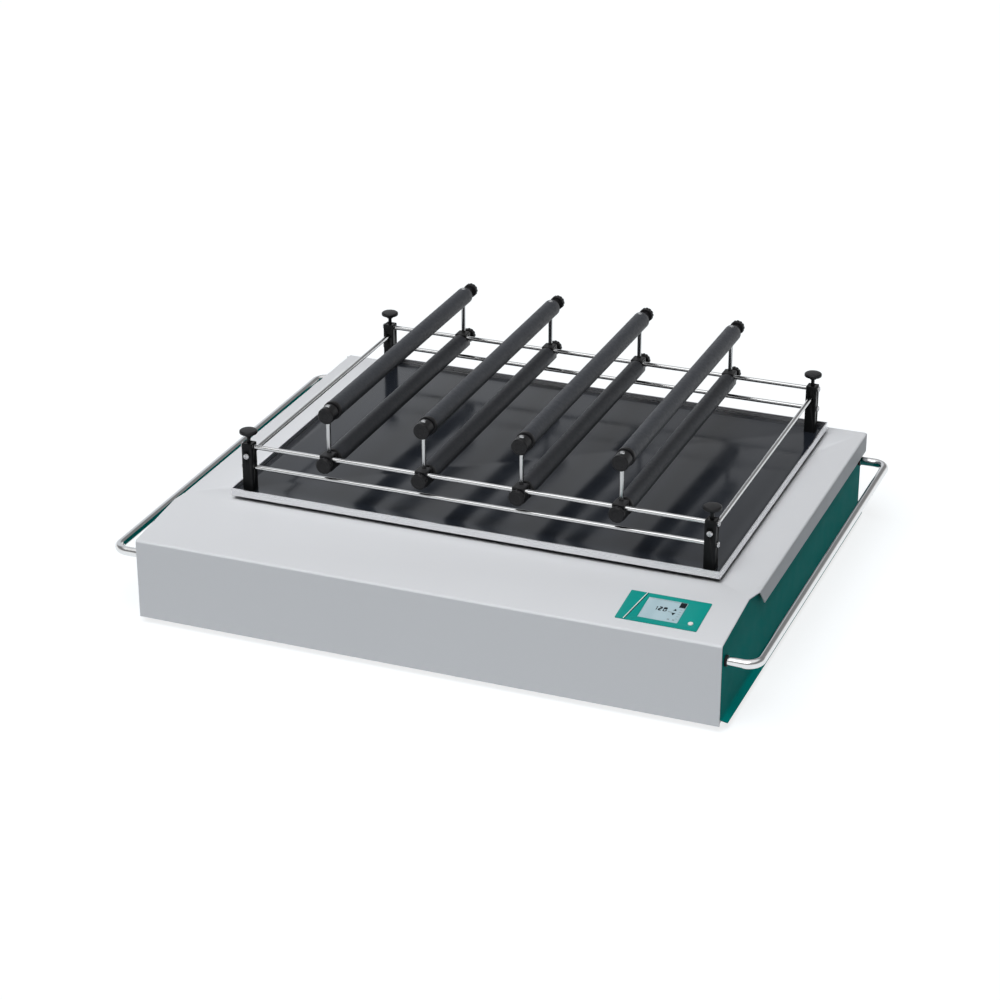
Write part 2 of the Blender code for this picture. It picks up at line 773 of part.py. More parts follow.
def make_main_crank(axis):
    """Driven crank with its balance weight opposite the pin, and the pulley on its shaft."""
    crank = crank_pieces("main_crank", CRANK_SHAFT_RADIUS, CRANK_WEB_RADIUS, CRANK_PIN_RADIUS)
    weight_low = (-WEIGHT_REACH, -WEIGHT_WIDTH / 2, web_z)
    weight_high = (-CRANK_SHAFT_RADIUS, WEIGHT_WIDTH / 2, web_z + WEB_THICKNESS)
    unite(crank, block_between("weight", weight_low, weight_high))
    cast_metal(crank, axis)
    bore = CRANK_SHAFT_RADIUS + FIT_GAP
    profile = [
        (bore, pulley_z + PULLEY_WIDTH),
        (PULLEY_RADIUS, pulley_z + PULLEY_WIDTH),
        (PULLEY_RADIUS, pulley_z),
        (bore, pulley_z),
    ]
    pulley = turned("drive_pulley", profile, LARGE_SIDES, ring=True)
    smooth(pulley)
    cast_metal(pulley, axis)


def make_idlers():
    for index, (x, y) in enumerate(idler_places(), start=1):
        axis = add_empty(f"idler_axis_{index}", (x, tray_y + y, 0))
        crank = crank_pieces(f"idler_crank_{index}", IDLER_SHAFT_RADIUS, IDLER_WEB_RADIUS, IDLER_PIN_RADIUS)
        cast_metal(crank, axis)


def make_carrier(tray_axis):
    """Three-armed frame on the crank pins, with a pedestal on each arm up to the tray."""
    arm_top = carrier_z + CARRIER_BAR_HEIGHT
    foot_z = carrier_z + CARRIER_BAR_HEIGHT / 2
    bore_low = carrier_z - CUT_OVERRUN
    bore_high = arm_top + CUT_OVERRUN
    carrier = drive_rod("carrier_frame", CARRIER_BOSS_RADIUS, carrier_z, arm_top)
    bores = [drive_rod("bore", CRANK_PIN_RADIUS + RUNNING_GAP, bore_low, bore_high)]
    for x, y in idler_places():
        unite(carrier, arm("carrier_arm", x, y, CARRIER_BAR_WIDTH, carrier_z, arm_top))
        unite(carrier, drive_rod("carrier_boss", CARRIER_BOSS_RADIUS, carrier_z, arm_top, x, y))
        bores.append(drive_rod("bore", IDLER_PIN_RADIUS + RUNNING_GAP, bore_low, bore_high, x, y))
    for x, y in pedestal_places():
        unite(carrier, drive_rod("pedestal", PEDESTAL_RADIUS, foot_z, tray_z - FIT_GAP, x, y))
    cut(carrier, join("carrier_bores", bores))
    smooth(carrier)
    cast_metal(carrier, tray_axis)


def make_tray(tray_axis):
    """Pan with a low rim, and the mat on its floor."""
    rim_top = tray_z + RIM_HEIGHT
    outer = Vector((TRAY_WIDTH / 2, TRAY_DEPTH / 2, 0))
    inner = outer - Vector((RIM_SHEET, RIM_SHEET, 0))
    up = Vector((0, 0, 1))
    tray = block_between("tray", up * tray_z - outer, up * rim_top + outer)
    cut(tray, block_between("tray_inside", up * tray_floor_z - inner, up * (rim_top + CUT_OVERRUN) + inner))
    steel(tray, tray_axis)
    mat_low = tray_floor_z + FIT_GAP
    edge = inner - Vector((MAT_CLEARANCE, MAT_CLEARANCE, 0))
    mat = block_between("tray_mat", up * mat_low - edge, up * (mat_low + MAT_THICKNESS) + edge)
    notch_side = POST_SIDE + 2 * MAT_CLEARANCE
    notches = []
    for name, side, end in corners():
        notch = (notch_side, notch_side, MAT_THICKNESS + CUT_OVERRUN)
        place = (side * post_x, end * post_y, mat_low + MAT_THICKNESS / 2)
        notches.append(block("notch", notch, place))
    cut(mat, join("post_notches", notches))
    finish(mat, (0.055, 0.060, 0.068), 0.25, parent=tray_axis)


def make_posts(tray_axis):
    """Square posts, bored for the rods that pass through and for the stud that clamps the highest."""
    middle_z = post_foot_z + POST_HEIGHT / 2
    rod_bore = ROD_RADIUS + RUNNING_GAP
    through = POST_SIDE + CUT_OVERRUN
    for name, side, end in corners():
        x = side * post_x
        y = end * post_y
        post = block(f"corner_post_{name}", (POST_SIDE, POST_SIDE, POST_HEIGHT), (x, y, middle_z))
        bevel(post, POST_EDGE)
        bores = [
            rod("bore", rod_bore, through, (x, y, tray_floor_z + ROD_HIGH), "X", SMALL_SIDES),
            rod("bore", rod_bore, through, (x, y, tray_floor_z + ROD_LOW), "X", SMALL_SIDES),
            rod("bore", rod_bore, through, (x, y, tray_floor_z + ROD_SIDE), "Y", SMALL_SIDES),
        ]
        cut(post, join("rod_bores", bores))
        stud_bore = STUD_RADIUS + RUNNING_GAP
        stud_low = tray_floor_z + ROD_HIGH
        cut(post, upright_rod("stud_bore", stud_bore, stud_low, post_top_z + CUT_OVERRUN, x, y, SMALL_SIDES))
        black_plastic(post, tray_axis)


def make_corner_knobs(tray_axis):
    """Mushroom knobs whose studs press on the highest rods."""
    rim_low = post_top_z + KNOB_LIFT
    rim_high = rim_low + KNOB_RIM
    stud_low = tray_floor_z + ROD_HIGH + ROD_RADIUS + FIT_GAP
    hub_low = rim_low - KNOB_CONE
    profile = [
        (0, rim_high + KNOB_CROWN),
        (KNOB_RADIUS - KNOB_CROWN, rim_high),
        (KNOB_RADIUS, rim_high - KNOB_CROWN),
        (KNOB_RADIUS, rim_low),
        (KNOB_HUB_RADIUS, hub_low),
        (STUD_RADIUS, hub_low),
        (STUD_RADIUS, stud_low),
        (0, stud_low),
    ]
    for name, side, end in corners():
        knob = turned(f"corner_knob_{name}", profile)
        knob.location = (side * post_x, end * post_y, 0)
        smooth(knob)
        black_plastic(knob, tray_axis)


def guard_rod(name, half_span):
    """A rod along Z with the heads of its end screws, outside the posts that it passes through."""
    head_in = half_span + POST_SIDE / 2 + FIT_GAP
    head_out = head_in + ROD_SCREW_HEAD
    upper = [
        (0, head_out),
        (ROD_SCREW_RADIUS, head_out),
        (ROD_SCREW_RADIUS, head_in),
        (ROD_RADIUS, head_in),
    ]
    return turned(name, upper + [(radius, -height) for radius, height in reversed(upper)], SMALL_SIDES)


def make_guard_rods(tray_axis):
    """Two rods along the front and the rear, and one along each side."""
    for end_name, end in (("front", FRONT), ("rear", REAR)):
        for level, height in (("high", ROD_HIGH), ("low", ROD_LOW)):
            bar = guard_rod(f"{end_name}_rod_{level}", post_x)
            bar.rotation_euler = (0, QUARTER, 0)
            bar.location = (0, end * post_y, tray_floor_z + height)
            smooth(bar)
            steel(bar, tray_axis)
    for side_name, side in (("left", LEFT), ("right", RIGHT)):
        bar = guard_rod(f"side_rod_{side_name}", post_y)
        bar.rotation_euler = (QUARTER, 0, 0)
        bar.location = (side * post_x, 0, tray_floor_z + ROD_SIDE)
        smooth(bar)
        steel(bar, tray_axis)


def bar_profile(half_length):
    """Half section of a padded bar: journals, end collars and the foam sleeve between them."""
    collar_end = half_length - JOURNAL_LENGTH
    sleeve_end = collar_end - COLLAR_LENGTH
    upper = [
        (0, half_length),
        (JOURNAL_RADIUS, half_length),
        (JOURNAL_RADIUS, collar_end),
        (COLLAR_RADIUS, collar_end),
        (COLLAR_RADIUS, sleeve_end),
        (BAR_RADIUS, sleeve_end),
    ]
    return upper + [(radius, -height) for radius, height in reversed(upper)]


def make_bar(name, half_length, middle, axis):
    """A padded bar along Y, around its middle."""
    bar = turned(name, bar_profile(half_length))
    bake_turn(bar, QUARTER)
    bar.data.transform(Matrix.Translation(middle))
    finish(bar, (0.055, 0.058, 0.062), 0.8, parent=axis)
    return bar


def grip_profile(radius, length, neck):
    """Half section of a grip knob: its neck starts at zero height and its head is above."""
    top = neck + length
    return [
        (0, top),
        (radius - GRIP_EDGE, top),
        (radius, top - GRIP_EDGE),
        (radius, neck + GRIP_EDGE),
        (radius - GRIP_EDGE, neck),
        (GRIP_NECK_RADIUS, neck),
        (GRIP_NECK_RADIUS, 0),
        (0, 0),
    ]


def make_grip(name, end, place, axis, sizes):
    """A grip knob whose head points away from the middle, at the front or the rear."""
    grip = turned(name, grip_profile(*sizes), GRIP_SIDES)
    bake_turn(grip, -end * QUARTER)
    grip.location = place
    smooth(grip)
    black_plastic(grip, axis)


def make_low_bar(index, axis):
    """Padded bar with the end blocks that slide on the rods, and the uprights on the blocks."""
    half_length = post_y - (LOW_BLOCK_FRONT + LOW_BLOCK_BACK) / 2 + JOURNAL_LENGTH / 2
    middle = (0, (LOW_BLOCK_BACK - LOW_BLOCK_FRONT) / 2, -LOW_BAR_DROP)
    bar = make_bar(f"low_bar_{index}", half_length, middle, axis)
    upright_top = high_bar_rise + HIGH_BLOCK_RADIUS + UPRIGHT_PROUD
    through = LOW_BLOCK_WIDTH + CUT_OVERRUN
    bores = []
    for end in (FRONT, REAR):
        rod_y = end * post_y
        upright_y = rod_y + UPRIGHT_SETBACK
        low = (-LOW_BLOCK_WIDTH / 2, rod_y - LOW_BLOCK_FRONT, -LOW_BLOCK_DOWN)
        high = (LOW_BLOCK_WIDTH / 2, rod_y + LOW_BLOCK_BACK, LOW_BLOCK_UP)
        unite(bar, block_between("end_block", low, high))
        unite(bar, upright_rod("upright", UPRIGHT_RADIUS, -LOW_BAR_DROP, upright_top, 0, upright_y, SMALL_SIDES))
        bores.append(rod("bore", ROD_RADIUS + RUNNING_GAP, through, (0, rod_y, 0), "X", SMALL_SIDES))
    cut(bar, join("rod_bores", bores))
    smooth(bar)


def make_high_bar(index, axis):
    """Padded bar with the round end clamps that slide on the uprights."""
    half_length = post_y - HIGH_BLOCK_LENGTH / 2 + JOURNAL_LENGTH / 2
    bar = make_bar(f"high_bar_{index}", half_length, (0, UPRIGHT_SETBACK, 0), axis)
    bore_end = HIGH_BLOCK_RADIUS + CUT_OVERRUN
    bore_radius = UPRIGHT_RADIUS + RUNNING_GAP
    bores = []
    for end in (FRONT, REAR):
        clamp_y = end * post_y + UPRIGHT_SETBACK
        unite(bar, rod("clamp", HIGH_BLOCK_RADIUS, HIGH_BLOCK_LENGTH, (0, clamp_y, 0), "Y"))
        bores.append(upright_rod("bore", bore_radius, -bore_end, bore_end, 0, clamp_y, SMALL_SIDES))
    cut(bar, join("upright_bores", bores))
    smooth(bar)


def make_bar_set(index, x, tray_axis):
    """One pair of padded bars with their grips. The high bar slides on the low one's uprights."""
    slide = add_empty(f"slide_axis_{index}", (x, 0, tray_floor_z + ROD_HIGH), tray_axis)
    lift = add_empty(f"lift_axis_{index}", (0, 0, high_bar_rise), slide)
    make_low_bar(index, slide)
    make_high_bar(index, lift)
    front_face = (0, -post_y - LOW_BLOCK_FRONT - FIT_GAP, -LOW_BAR_DROP)
    rear_face = (0, post_y + LOW_BLOCK_BACK + FIT_GAP, -LOW_BAR_DROP)
    high_face = (0, post_y + UPRIGHT_SETBACK + HIGH_BLOCK_LENGTH / 2 + FIT_GAP, 0)
    front_sizes = (GRIP_RADIUS, GRIP_LENGTH, GRIP_NECK)
    rear_sizes = (REAR_GRIP_RADIUS, REAR_GRIP_LENGTH, REAR_GRIP_NECK)
    high_sizes = (REAR_GRIP_RADIUS, REAR_GRIP_LENGTH, HIGH_GRIP_NECK)
    make_grip(f"front_grip_{index}", FRONT, front_face, slide, front_sizes)
    make_grip(f"rear_grip_{index}", REAR, rear_face, slide, rear_sizes)
    make_grip(f"high_grip_{index}", REAR, high_face, lift, high_sizes)


def make_shaker():
    make_hood()
    make_base_pan()
    make_side_panel("side_panel_left", LEFT)
    make_side_panel("side_panel_right", RIGHT)
    make_handle("handle_left", LEFT)
    make_handle("handle_right", RIGHT)
    make_feet()
    make_control_panel()
    make_power_inlet()
    make_bearing_frame()
    make_motor()
    make_belt()
    crank_axis = add_empty("crank_axis", (0, tray_y, 0))
    make_main_crank(crank_axis)
    make_idlers()
    tray_axis = add_empty("tray_axis", (ORBIT_RADIUS, 0, 0), crank_axis)
    make_carrier(tray_axis)
    make_tray(tray_axis)
    make_posts(tray_axis)
    make_corner_knobs(tray_axis)
    make_guard_rods(tray_axis)
    for index in range(SET_COUNT):
        x = SET_SHIFT + (index - (SET_COUNT - 1) / 2) * SET_PITCH
        make_bar_set(index + 1, x, tray_axis)


make_shaker()
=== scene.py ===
"""Looks of the flask shaker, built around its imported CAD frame. Metres, +Z up."""

import math

import bmesh
import bpy
from mathutils import Matrix, Vector


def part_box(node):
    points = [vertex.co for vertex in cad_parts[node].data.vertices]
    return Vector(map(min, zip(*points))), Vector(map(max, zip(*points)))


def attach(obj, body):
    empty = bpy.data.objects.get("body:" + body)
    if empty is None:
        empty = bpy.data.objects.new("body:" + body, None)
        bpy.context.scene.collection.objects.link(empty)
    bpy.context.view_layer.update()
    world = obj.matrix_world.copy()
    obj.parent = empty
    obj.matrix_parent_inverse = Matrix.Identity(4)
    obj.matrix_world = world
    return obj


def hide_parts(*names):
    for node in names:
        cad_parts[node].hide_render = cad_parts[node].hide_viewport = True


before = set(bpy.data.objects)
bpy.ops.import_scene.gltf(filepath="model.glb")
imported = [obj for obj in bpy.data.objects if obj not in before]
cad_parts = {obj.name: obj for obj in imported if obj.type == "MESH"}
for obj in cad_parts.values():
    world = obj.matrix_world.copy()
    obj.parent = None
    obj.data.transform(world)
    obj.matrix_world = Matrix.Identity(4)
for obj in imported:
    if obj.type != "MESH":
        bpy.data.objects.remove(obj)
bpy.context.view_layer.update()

# Camera, solved from the photograph
CAMERA_AZIMUTH = math.radians(21.544)
CAMERA_ELEVATION = math.radians(25.029)
CAMERA_DISTANCE = 3.6386
CAMERA_AIM = Vector((-0.0300, 0.0255, 0.0856))
LENS_MM = 96.25
SENSOR_MM = 36

# Sheet metal
SHEET = 0.0015
BEND = 0.003
BEND_SEGMENTS = 5
BEND_ANGLE = math.radians(30)
EDGE = 0.0003
EDGE_SEGMENTS = 2
EDGE_ANGLE = math.radians(60)
HOUSING_HALF_WIDTH = 0.395
SLOPE_DEPTH = 0.110
SLOPE_RISE = 0.0115
STEP_FROM_FRONT = 0.133
LIP_DROP = 0.0275
LIP_SLANT = 0.026
KICK_HEIGHT = 0.009
KICK_REACH = 0.007
KICK_MITRE = 0.012
GAP = 0.0003

# On the photograph the hood's left edge behind the step lies further in than the right one. The wall
# drops there, so that its upper edge doesn't show past the hood.
LEFT_INSET = 0.0035
LEFT_WALL_DROP = 0.0045

# Pedestals pass through the hood at this share of the way from the tray's middle to the idler cranks
IDLERS = [(-0.240, -0.150), (0.240, -0.150), (0, 0.185)]
PEDESTAL_SHARE = 0.75
HOOD_HOLE_RADIUS = 0.0295

# Handles, and the black rings at their roots, which are painted shade where the tube meets the wall
TUBE_RADIUS = 0.006
TUBE_RESOLUTION = 8
HANDLE_BEND = 0.022
HANDLE_BEND_STEPS = 14
HANDLE_STANDOFF = 0.040
SHADE_RING_RADIUS = 0.0073
SHADE_RING_TIP_RADIUS = 0.0070
SHADE_RING_LENGTH = 0.0032
SHADE_RING_EASE = 0.0004

# Feet
FOOT_CHAMFER = 0.002
FOOT_RIM_HEIGHT = 0.0075
FOOT_TAPER = 0.001
FOOT_EASE = 0.0008

# Fascia on the sloped strip. The window, key and divider are placed from its front left corner.
FASCIA_FROM_SIDE = 0.039
FASCIA_FROM_FRONT = 0.020
FASCIA_WIDTH, FASCIA_DEPTH = 0.104, 0.064
FASCIA_THICKNESS = 0.0012
FASCIA_CORNER = 0.0012
FASCIA_EDGE = 0.0001
WINDOW_X, WINDOW_Y = 0.026, 0.0095
WINDOW_WIDTH, WINDOW_DEPTH = 0.0504, 0.0458
WINDOW_CORNER = 0.0006
WINDOW_HOLE_CORNER = 0.0008
WINDOW_RECESS = 0.0001
WINDOW_EDGE = 0.00008
KEY_X, KEY_Y = 0.0925, 0.0134
KEY_RADIUS = 0.00325
KEY_HOLE_RADIUS = 0.00365
KEY_DEPTH = 0.008
KEY_RISE = 0.0012
KEY_CROWN = 0.0001
KEY_EASE = 0.0006

# The divider leans: shares of the fascia's width at the front and at the back
DIVIDER_FRONT_SHARE = 0.097
DIVIDER_BACK_SHARE = 0.196
DIVIDER_LINE = 0.0012
DIVIDER_PITCH = 0.0014
DIVIDER_MARGIN = 0.0004
DIVIDER_THICKNESS = 0.0001
DIVIDER_EDGE = 0.00002

# Marks in the window, placed from its front left corner
MARK_THICKNESS = 0.00012
MARK_EDGE = 0.00003
DIGITS = "120"
DIGIT_X, DIGIT_Y = 0.0125, 0.0205
DIGIT_PITCH = 0.0062
DIGIT_WIDTH = 0.0048
DIGIT_HEIGHT = 0.0090
DIGIT_STROKE = 0.0013
DIGIT_INSET = DIGIT_STROKE * 0.6
ARROW_X = 0.0395
UP_ARROW = [(-0.0022, 0.0255), (0.0022, 0.0255), (0, 0.0300)]
DOWN_ARROW = [(-0.0026, 0.0205), (0, 0.0150), (0.0026, 0.0205)]

# Rows of rectangles in the window: the first one's corner and size, how many, and the step between
UNIT_MARKS = ((0.0320, 0.0205), (0.0010, 0.0020), 3, (0.0016, 0))
SIDE_TICKS = ((0.0452, 0.0080), (0.0026, 0.0010), 5, (0, 0.0052))
FRONT_TICKS = ((0.0360, 0.0040), (0.0028, 0.0026), 2, (0.0065, 0))
DARK_SQUARE = ((0.0419, 0.0338), (0.0079, 0.0114), 1, (0, 0))
HEADER_LINE = ((0.0020, 0.0436), (0.0380, 0.0006), 1, (0, 0))

# Tray and mat. A face of the pan belongs to an axis if its normal goes past FACING along it.
TRAY_SLIT = 0.0009
TRAY_BEND = 0.0012
POST_NOTCH = 0.0006
MAT_CORNER = 0.002
MAT_EDGE = 0.0003
FACING = 0.7

# Corner posts. The knob's outline is radius and height above its rim's lower edge.
POST_EDGE = 0.0009
STUD_BORE = 0.0029
STUD_RADIUS = 0.0025
KNOB_RIM_DROP = 0.0048
KNOB_STEM_TOP = -0.0050
KNOB_OUTLINE = [(0.0042, KNOB_STEM_TOP), (0.0050, -0.0030), (0.0120, 0), (0.0120, 0.0032),
                (0.0104, 0.0043)]
KNOB_EASE = 0.0012
KNOB_SIDES = 64

# Rods and uprights
ROD_RADIUS = 0.003
UPRIGHT_RADIUS = 0.003
UPRIGHT_EASE = 0.0005
UPRIGHT_SETBACK = 0.008
BORE_ROOM = 0.0002
BAR_SIDES = 40

# Screws, as radius and height. A slot is half its width, half its length, its floor and its open end.
SCREW_EASE = 0.0004
SLOT_EDGE = 0.00005
ROD_HEAD = 0.003
ROD_SCREW = [(0, 0), (0.0042, 0), (0.0042, 0.0012), (0.0036, 0.0024), (0.0022, 0.0029), (0, ROD_HEAD)]
ROD_SCREW_SLOT = (0.0005, 0.006, 0.0020, 0.006)
WALL_SCREW = [(0, 0), (0.0040, 0), (0.0040, 0.0008), (0.0030, 0.0019), (0, 0.0024)]
WALL_SCREW_SLOTS = [(0.0004, 0.0022, 0.0012, 0.004), (0.0022, 0.0004, 0.0012, 0.004)]
WALL_SCREW_PLACES = [(-0.375, 0.030), (-0.125, 0.030), (0.125, 0.030), (0.375, 0.030),
                     (-0.375, 0.092), (0.375, 0.092)]

# Contact pins in the power inlet: sideways and up from its middle
INLET_PINS = (("left", -0.007, -0.001), ("right", 0.007, -0.001), ("middle", 0, 0.003))
PIN_HALF_WIDTH = 0.001
PIN_HALF_HEIGHT = 0.002
PIN_ROOT_DEPTH = 0.0169
PIN_TIP_DEPTH = 0.004
PIN_EDGE = 0.0005

# Padded bars
FOAM_RADIUS = 0.012
FOAM_RINGS = 40
FOAM_EASE = 0.0010
COLLAR_RADIUS = 0.0125
COLLAR_LENGTH = 0.006
COLLAR_EASE = 0.0009
JOURNAL_RADIUS = 0.004
JOURNAL_LENGTH = 0.005
JOURNAL_EASE = 0.0003

# Blocks, clamps and grips. A dimple is its rim's radius, its floor's radius and its depth.
LOW_BLOCK_HALF_WIDTH = 0.0085
LOW_BLOCK_FRONT = 0.005
LOW_BLOCK_BACK = 0.0135
LOW_BLOCK_UP = 0.0055
LOW_BLOCK_DOWN = 0.016
LOW_BLOCK_EDGE = 0.0016
CLAMP_RADIUS = 0.011
CLAMP_LENGTH = 0.018
CLAMP_INNER_CHAMFER = 0.0008
CLAMP_OUTER_CHAMFER = 0.0012
CLAMP_OUTER_CHAMFER_LENGTH = 0.0010
CLAMP_EASE = 0.0008
CLAMP_SIDES = 64
CLAMP_DIMPLE = (0.0055, 0.0050, 0.0006)
REAR_CAP_LENGTH = 0.0025
FRONT_GRIP_LENGTH = 0.006
REAR_GRIP_LENGTH = 0.008
GRIP_NECK_RADIUS = 0.005
GRIP_INNER_CHAMFER = 0.0012
GRIP_OUTER_CHAMFER = 0.0016
GRIP_OUTER_CHAMFER_LENGTH = 0.0014
GRIP_EASE = 0.0006
GRIP_SIDES = 120
GRIP_LOBES = 12
GRIP_LOBE_DEPTH = 0.0007
GRIP_LOBE_MARGIN = 0.0004
GRIP_DIMPLE = (0.0062, 0.0056, 0.0006)

# Studio. The walls' stops are the sine of the height above the horizon, and the grey there.
WALL_STOPS = [(0.0, 1.0), (0.16, 1.0), (0.30, 0.27), (0.72, 0.22), (0.84, 0.95), (1.0, 1.0)]
PANEL_DIRECTION = Vector((-0.60, 0.66, 0.45)).normalized()
PANEL_FADE_FROM, PANEL_FADE_TO = 0.86, 0.975
PANEL_COLOUR = (0.72, 0.74, 0.77, 1)
WORLD_LIGHT = 0.16
FLOOR_HALF_SIZE = 15
FLOOR_SQUARES = 8
FLOOR_COLOUR = (0.26, 0.29, 0.31, 1)
FLOOR_ROUGHNESS = 0.9
FLOOR_GLOW = 0.77
SUN_PLACE = (-0.10, -1.70, 3.0)
KEY_SUN_STRENGTH, KEY_SUN_ANGLE = 2.14, math.radians(36)
SOFT_SUN_STRENGTH, SOFT_SUN_ANGLE = 0.84, math.radians(50)

# Mesh making. An easing takes at most EASE_SHARE of the edge beside it.
TINY = 1e-7
SMOOTH_ANGLE = math.radians(38)
NEARLY_STRAIGHT = math.radians(175)
EASE_SHARE = 0.45
LOBE_SHARPNESS = 3
BORE_SIDES = 32
CORNER_STEPS = 5
PLATE_RESOLUTION = 2
CUT_PAST = 0.01
CUT_THROUGH = 0.02
QUARTER = math.pi / 2
AXES = {
    "X": Matrix.Rotation(QUARTER, 4, "Y"),
    "Y": Matrix.Rotation(-QUARTER, 4, "X"),
    "-Y": Matrix.Rotation(QUARTER, 4, "X"),
    "Z": Matrix.Identity(4),
}

# Surface making
NOISE_LOW, NOISE_HIGH = 0.3, 0.7
GLOSSIEST = 0.02
STREAK = 0.01

LEFT, RIGHT = -1, 1
FRONT, REAR = -1, 1
SIDES = ((LEFT, "left"), (RIGHT, "right"))
CORNERS = [f"{end}_{side}" for end in ("front", "rear") for side in ("left", "right")]


# Mesh helpers

def link(name, data):
    obj = bpy.data.objects.new(name, data)
    bpy.context.scene.collection.objects.link(obj)
    return obj


def from_bmesh(name, bm):
    bmesh.ops.recalc_face_normals(bm, faces=bm.faces)
    mesh = bpy.data.meshes.new(name)
    bm.to_mesh(mesh)
    bm.free()
    return link(name, mesh)


def modify(obj, kind, **values):
    modifier = obj.modifiers.new(kind.lower(), kind)
    for key, value in values.items():
        setattr(modifier, key, value)
    return modifier


def bake(obj):
    """Replace a piece's data by the mesh that its modifiers or its curve make."""
    evaluated = obj.evaluated_get(bpy.context.evaluated_depsgraph_get())
    mesh = bpy.data.meshes.new_from_object(evaluated)
    name = obj.name
    bpy.data.objects.remove(obj, do_unlink=True)
    return link(name, mesh)


def smooth(obj):
    obj.data.shade_smooth()
    obj.data.set_sharp_from_angle(angle=SMOOTH_ANGLE)
    return obj


def place(obj, matrix):
    obj.data.transform(matrix)
    return obj


def eased(points, radius, steps=3):
    """The open line of 2D points, with its inner corners rounded."""
    points = [Vector(point) for point in points]
    line = [points[0]]
    for before, corner, after in zip(points, points[1:], points[2:]):
        first = before - corner
        second = after - corner
        angle = first.angle(second)
        if angle > NEARLY_STRAIGHT:
            line.append(corner)
            continue
        reach = min(radius / math.tan(angle / 2), first.length * EASE_SHARE, second.length * EASE_SHARE)
        round_off = reach * math.tan(angle / 2)
        start = corner + first.normalized() * reach
        inward = (first.normalized() + second.normalized()).normalized()
        centre = corner + inward * (round_off / math.sin(angle / 2))
        end = corner + second.normalized() * reach
        turn = (start - centre).angle_signed(end - centre)
        heading = math.atan2(start.y - centre.y, start.x - centre.x)
        for step in range(steps + 1):
            at = heading - turn * step / steps
            line.append(centre + Vector((math.cos(at), math.sin(at))) * round_off)
    line.append(points[-1])
    return line


def lathe(name, profile, centre=(0, 0, 0), axis="Z", sides=48, lobes=0, lobe_depth=0.0, lobe_from=0.0):
    """Turn (radius, along) points about an axis through the centre. Lobes scallop the outermost radii."""
    bm = bmesh.new()
    rings = []
    for radius, along in profile:
        if radius < TINY:
            rings.append([bm.verts.new((0, 0, along))])
            continue
        ring = []
        for side in range(sides):
            at = 2 * math.pi * side / sides
            reach = radius
            if lobes and radius > lobe_from:
                reach -= lobe_depth * (0.5 - 0.5 * math.cos(at * lobes)) ** LOBE_SHARPNESS
            ring.append(bm.verts.new((reach * math.cos(at), reach * math.sin(at), along)))
        rings.append(ring)
    for lower, upper in zip(rings, rings[1:]):
        for side in range(sides):
            after = (side + 1) % sides
            corners = []
            for ring, index in ((lower, side), (lower, after), (upper, after), (upper, side)):
                vertex = ring[index % len(ring)]
                if vertex not in corners:
                    corners.append(vertex)
            if len(corners) > 2:
                bm.faces.new(corners)
    obj = from_bmesh(name, bm)
    place(obj, Matrix.Translation(centre) @ AXES[axis])
    return smooth(obj)


def rounded_box(name, low, high, radius, segments=3):
    bm = bmesh.new()
    bmesh.ops.create_cube(bm, size=1)
    low = Vector(low)
    high = Vector(high)
    bmesh.ops.scale(bm, vec=high - low, verts=bm.verts)
    bmesh.ops.translate(bm, vec=(low + high) / 2, verts=bm.verts)
    obj = from_bmesh(name, bm)
    modify(obj, "BEVEL", width=radius, segments=segments)
    modify(obj, "WEIGHTED_NORMAL")
    obj.data.shade_smooth()
    return bake(obj)


def drill(obj, cutters):
    """Cut away the cutters, which are removed."""
    for cutter in cutters:
        modify(obj, "BOOLEAN", operation="DIFFERENCE", object=cutter, solver="EXACT")
    result = bake(obj)
    for cutter in cutters:
        bpy.data.objects.remove(cutter, do_unlink=True)
    return result


def bore(radius, low, high, axis="Z"):
    """A round cutter from its low to its high end, both points."""
    low = Vector(low)
    length = (Vector(high) - low).length
    return lathe("cutter", [(0, 0), (radius, 0), (radius, length), (0, length)], low, axis, BORE_SIDES)


def slot_cutter(half_width, half_length, floor, past_head):
    """A driver slot's cutter, across the middle of a screw's head."""
    return rounded_box("cutter", (-half_width, -half_length, floor), (half_width, half_length, past_head),
                       SLOT_EDGE, 1)


def dimple(shape, face):
    """Profile points of a shallow dimple in an end face."""
    rim_radius, floor_radius, depth = shape
    return [(rim_radius, face), (floor_radius, face - depth), (0, face - depth)]


def folded_sheet(name, points, faces, bend):
    """Faces of a sheet's outer side, given their bends, thickness and softened edges."""
    mesh = bpy.data.meshes.new(name)
    mesh.from_pydata(points, [], faces)
    obj = link(name, mesh)
    modify(obj, "BEVEL", width=bend, segments=BEND_SEGMENTS, limit_method="ANGLE", angle_limit=BEND_ANGLE)
    modify(obj, "SOLIDIFY", thickness=SHEET, offset=-1, use_even_offset=True)
    obj = bake(obj)
    modify(obj, "BEVEL", width=EDGE, segments=EDGE_SEGMENTS, limit_method="ANGLE", angle_limit=EDGE_ANGLE)
    modify(obj, "WEIGHTED_NORMAL")
    obj.data.shade_smooth()
    return bake(obj)


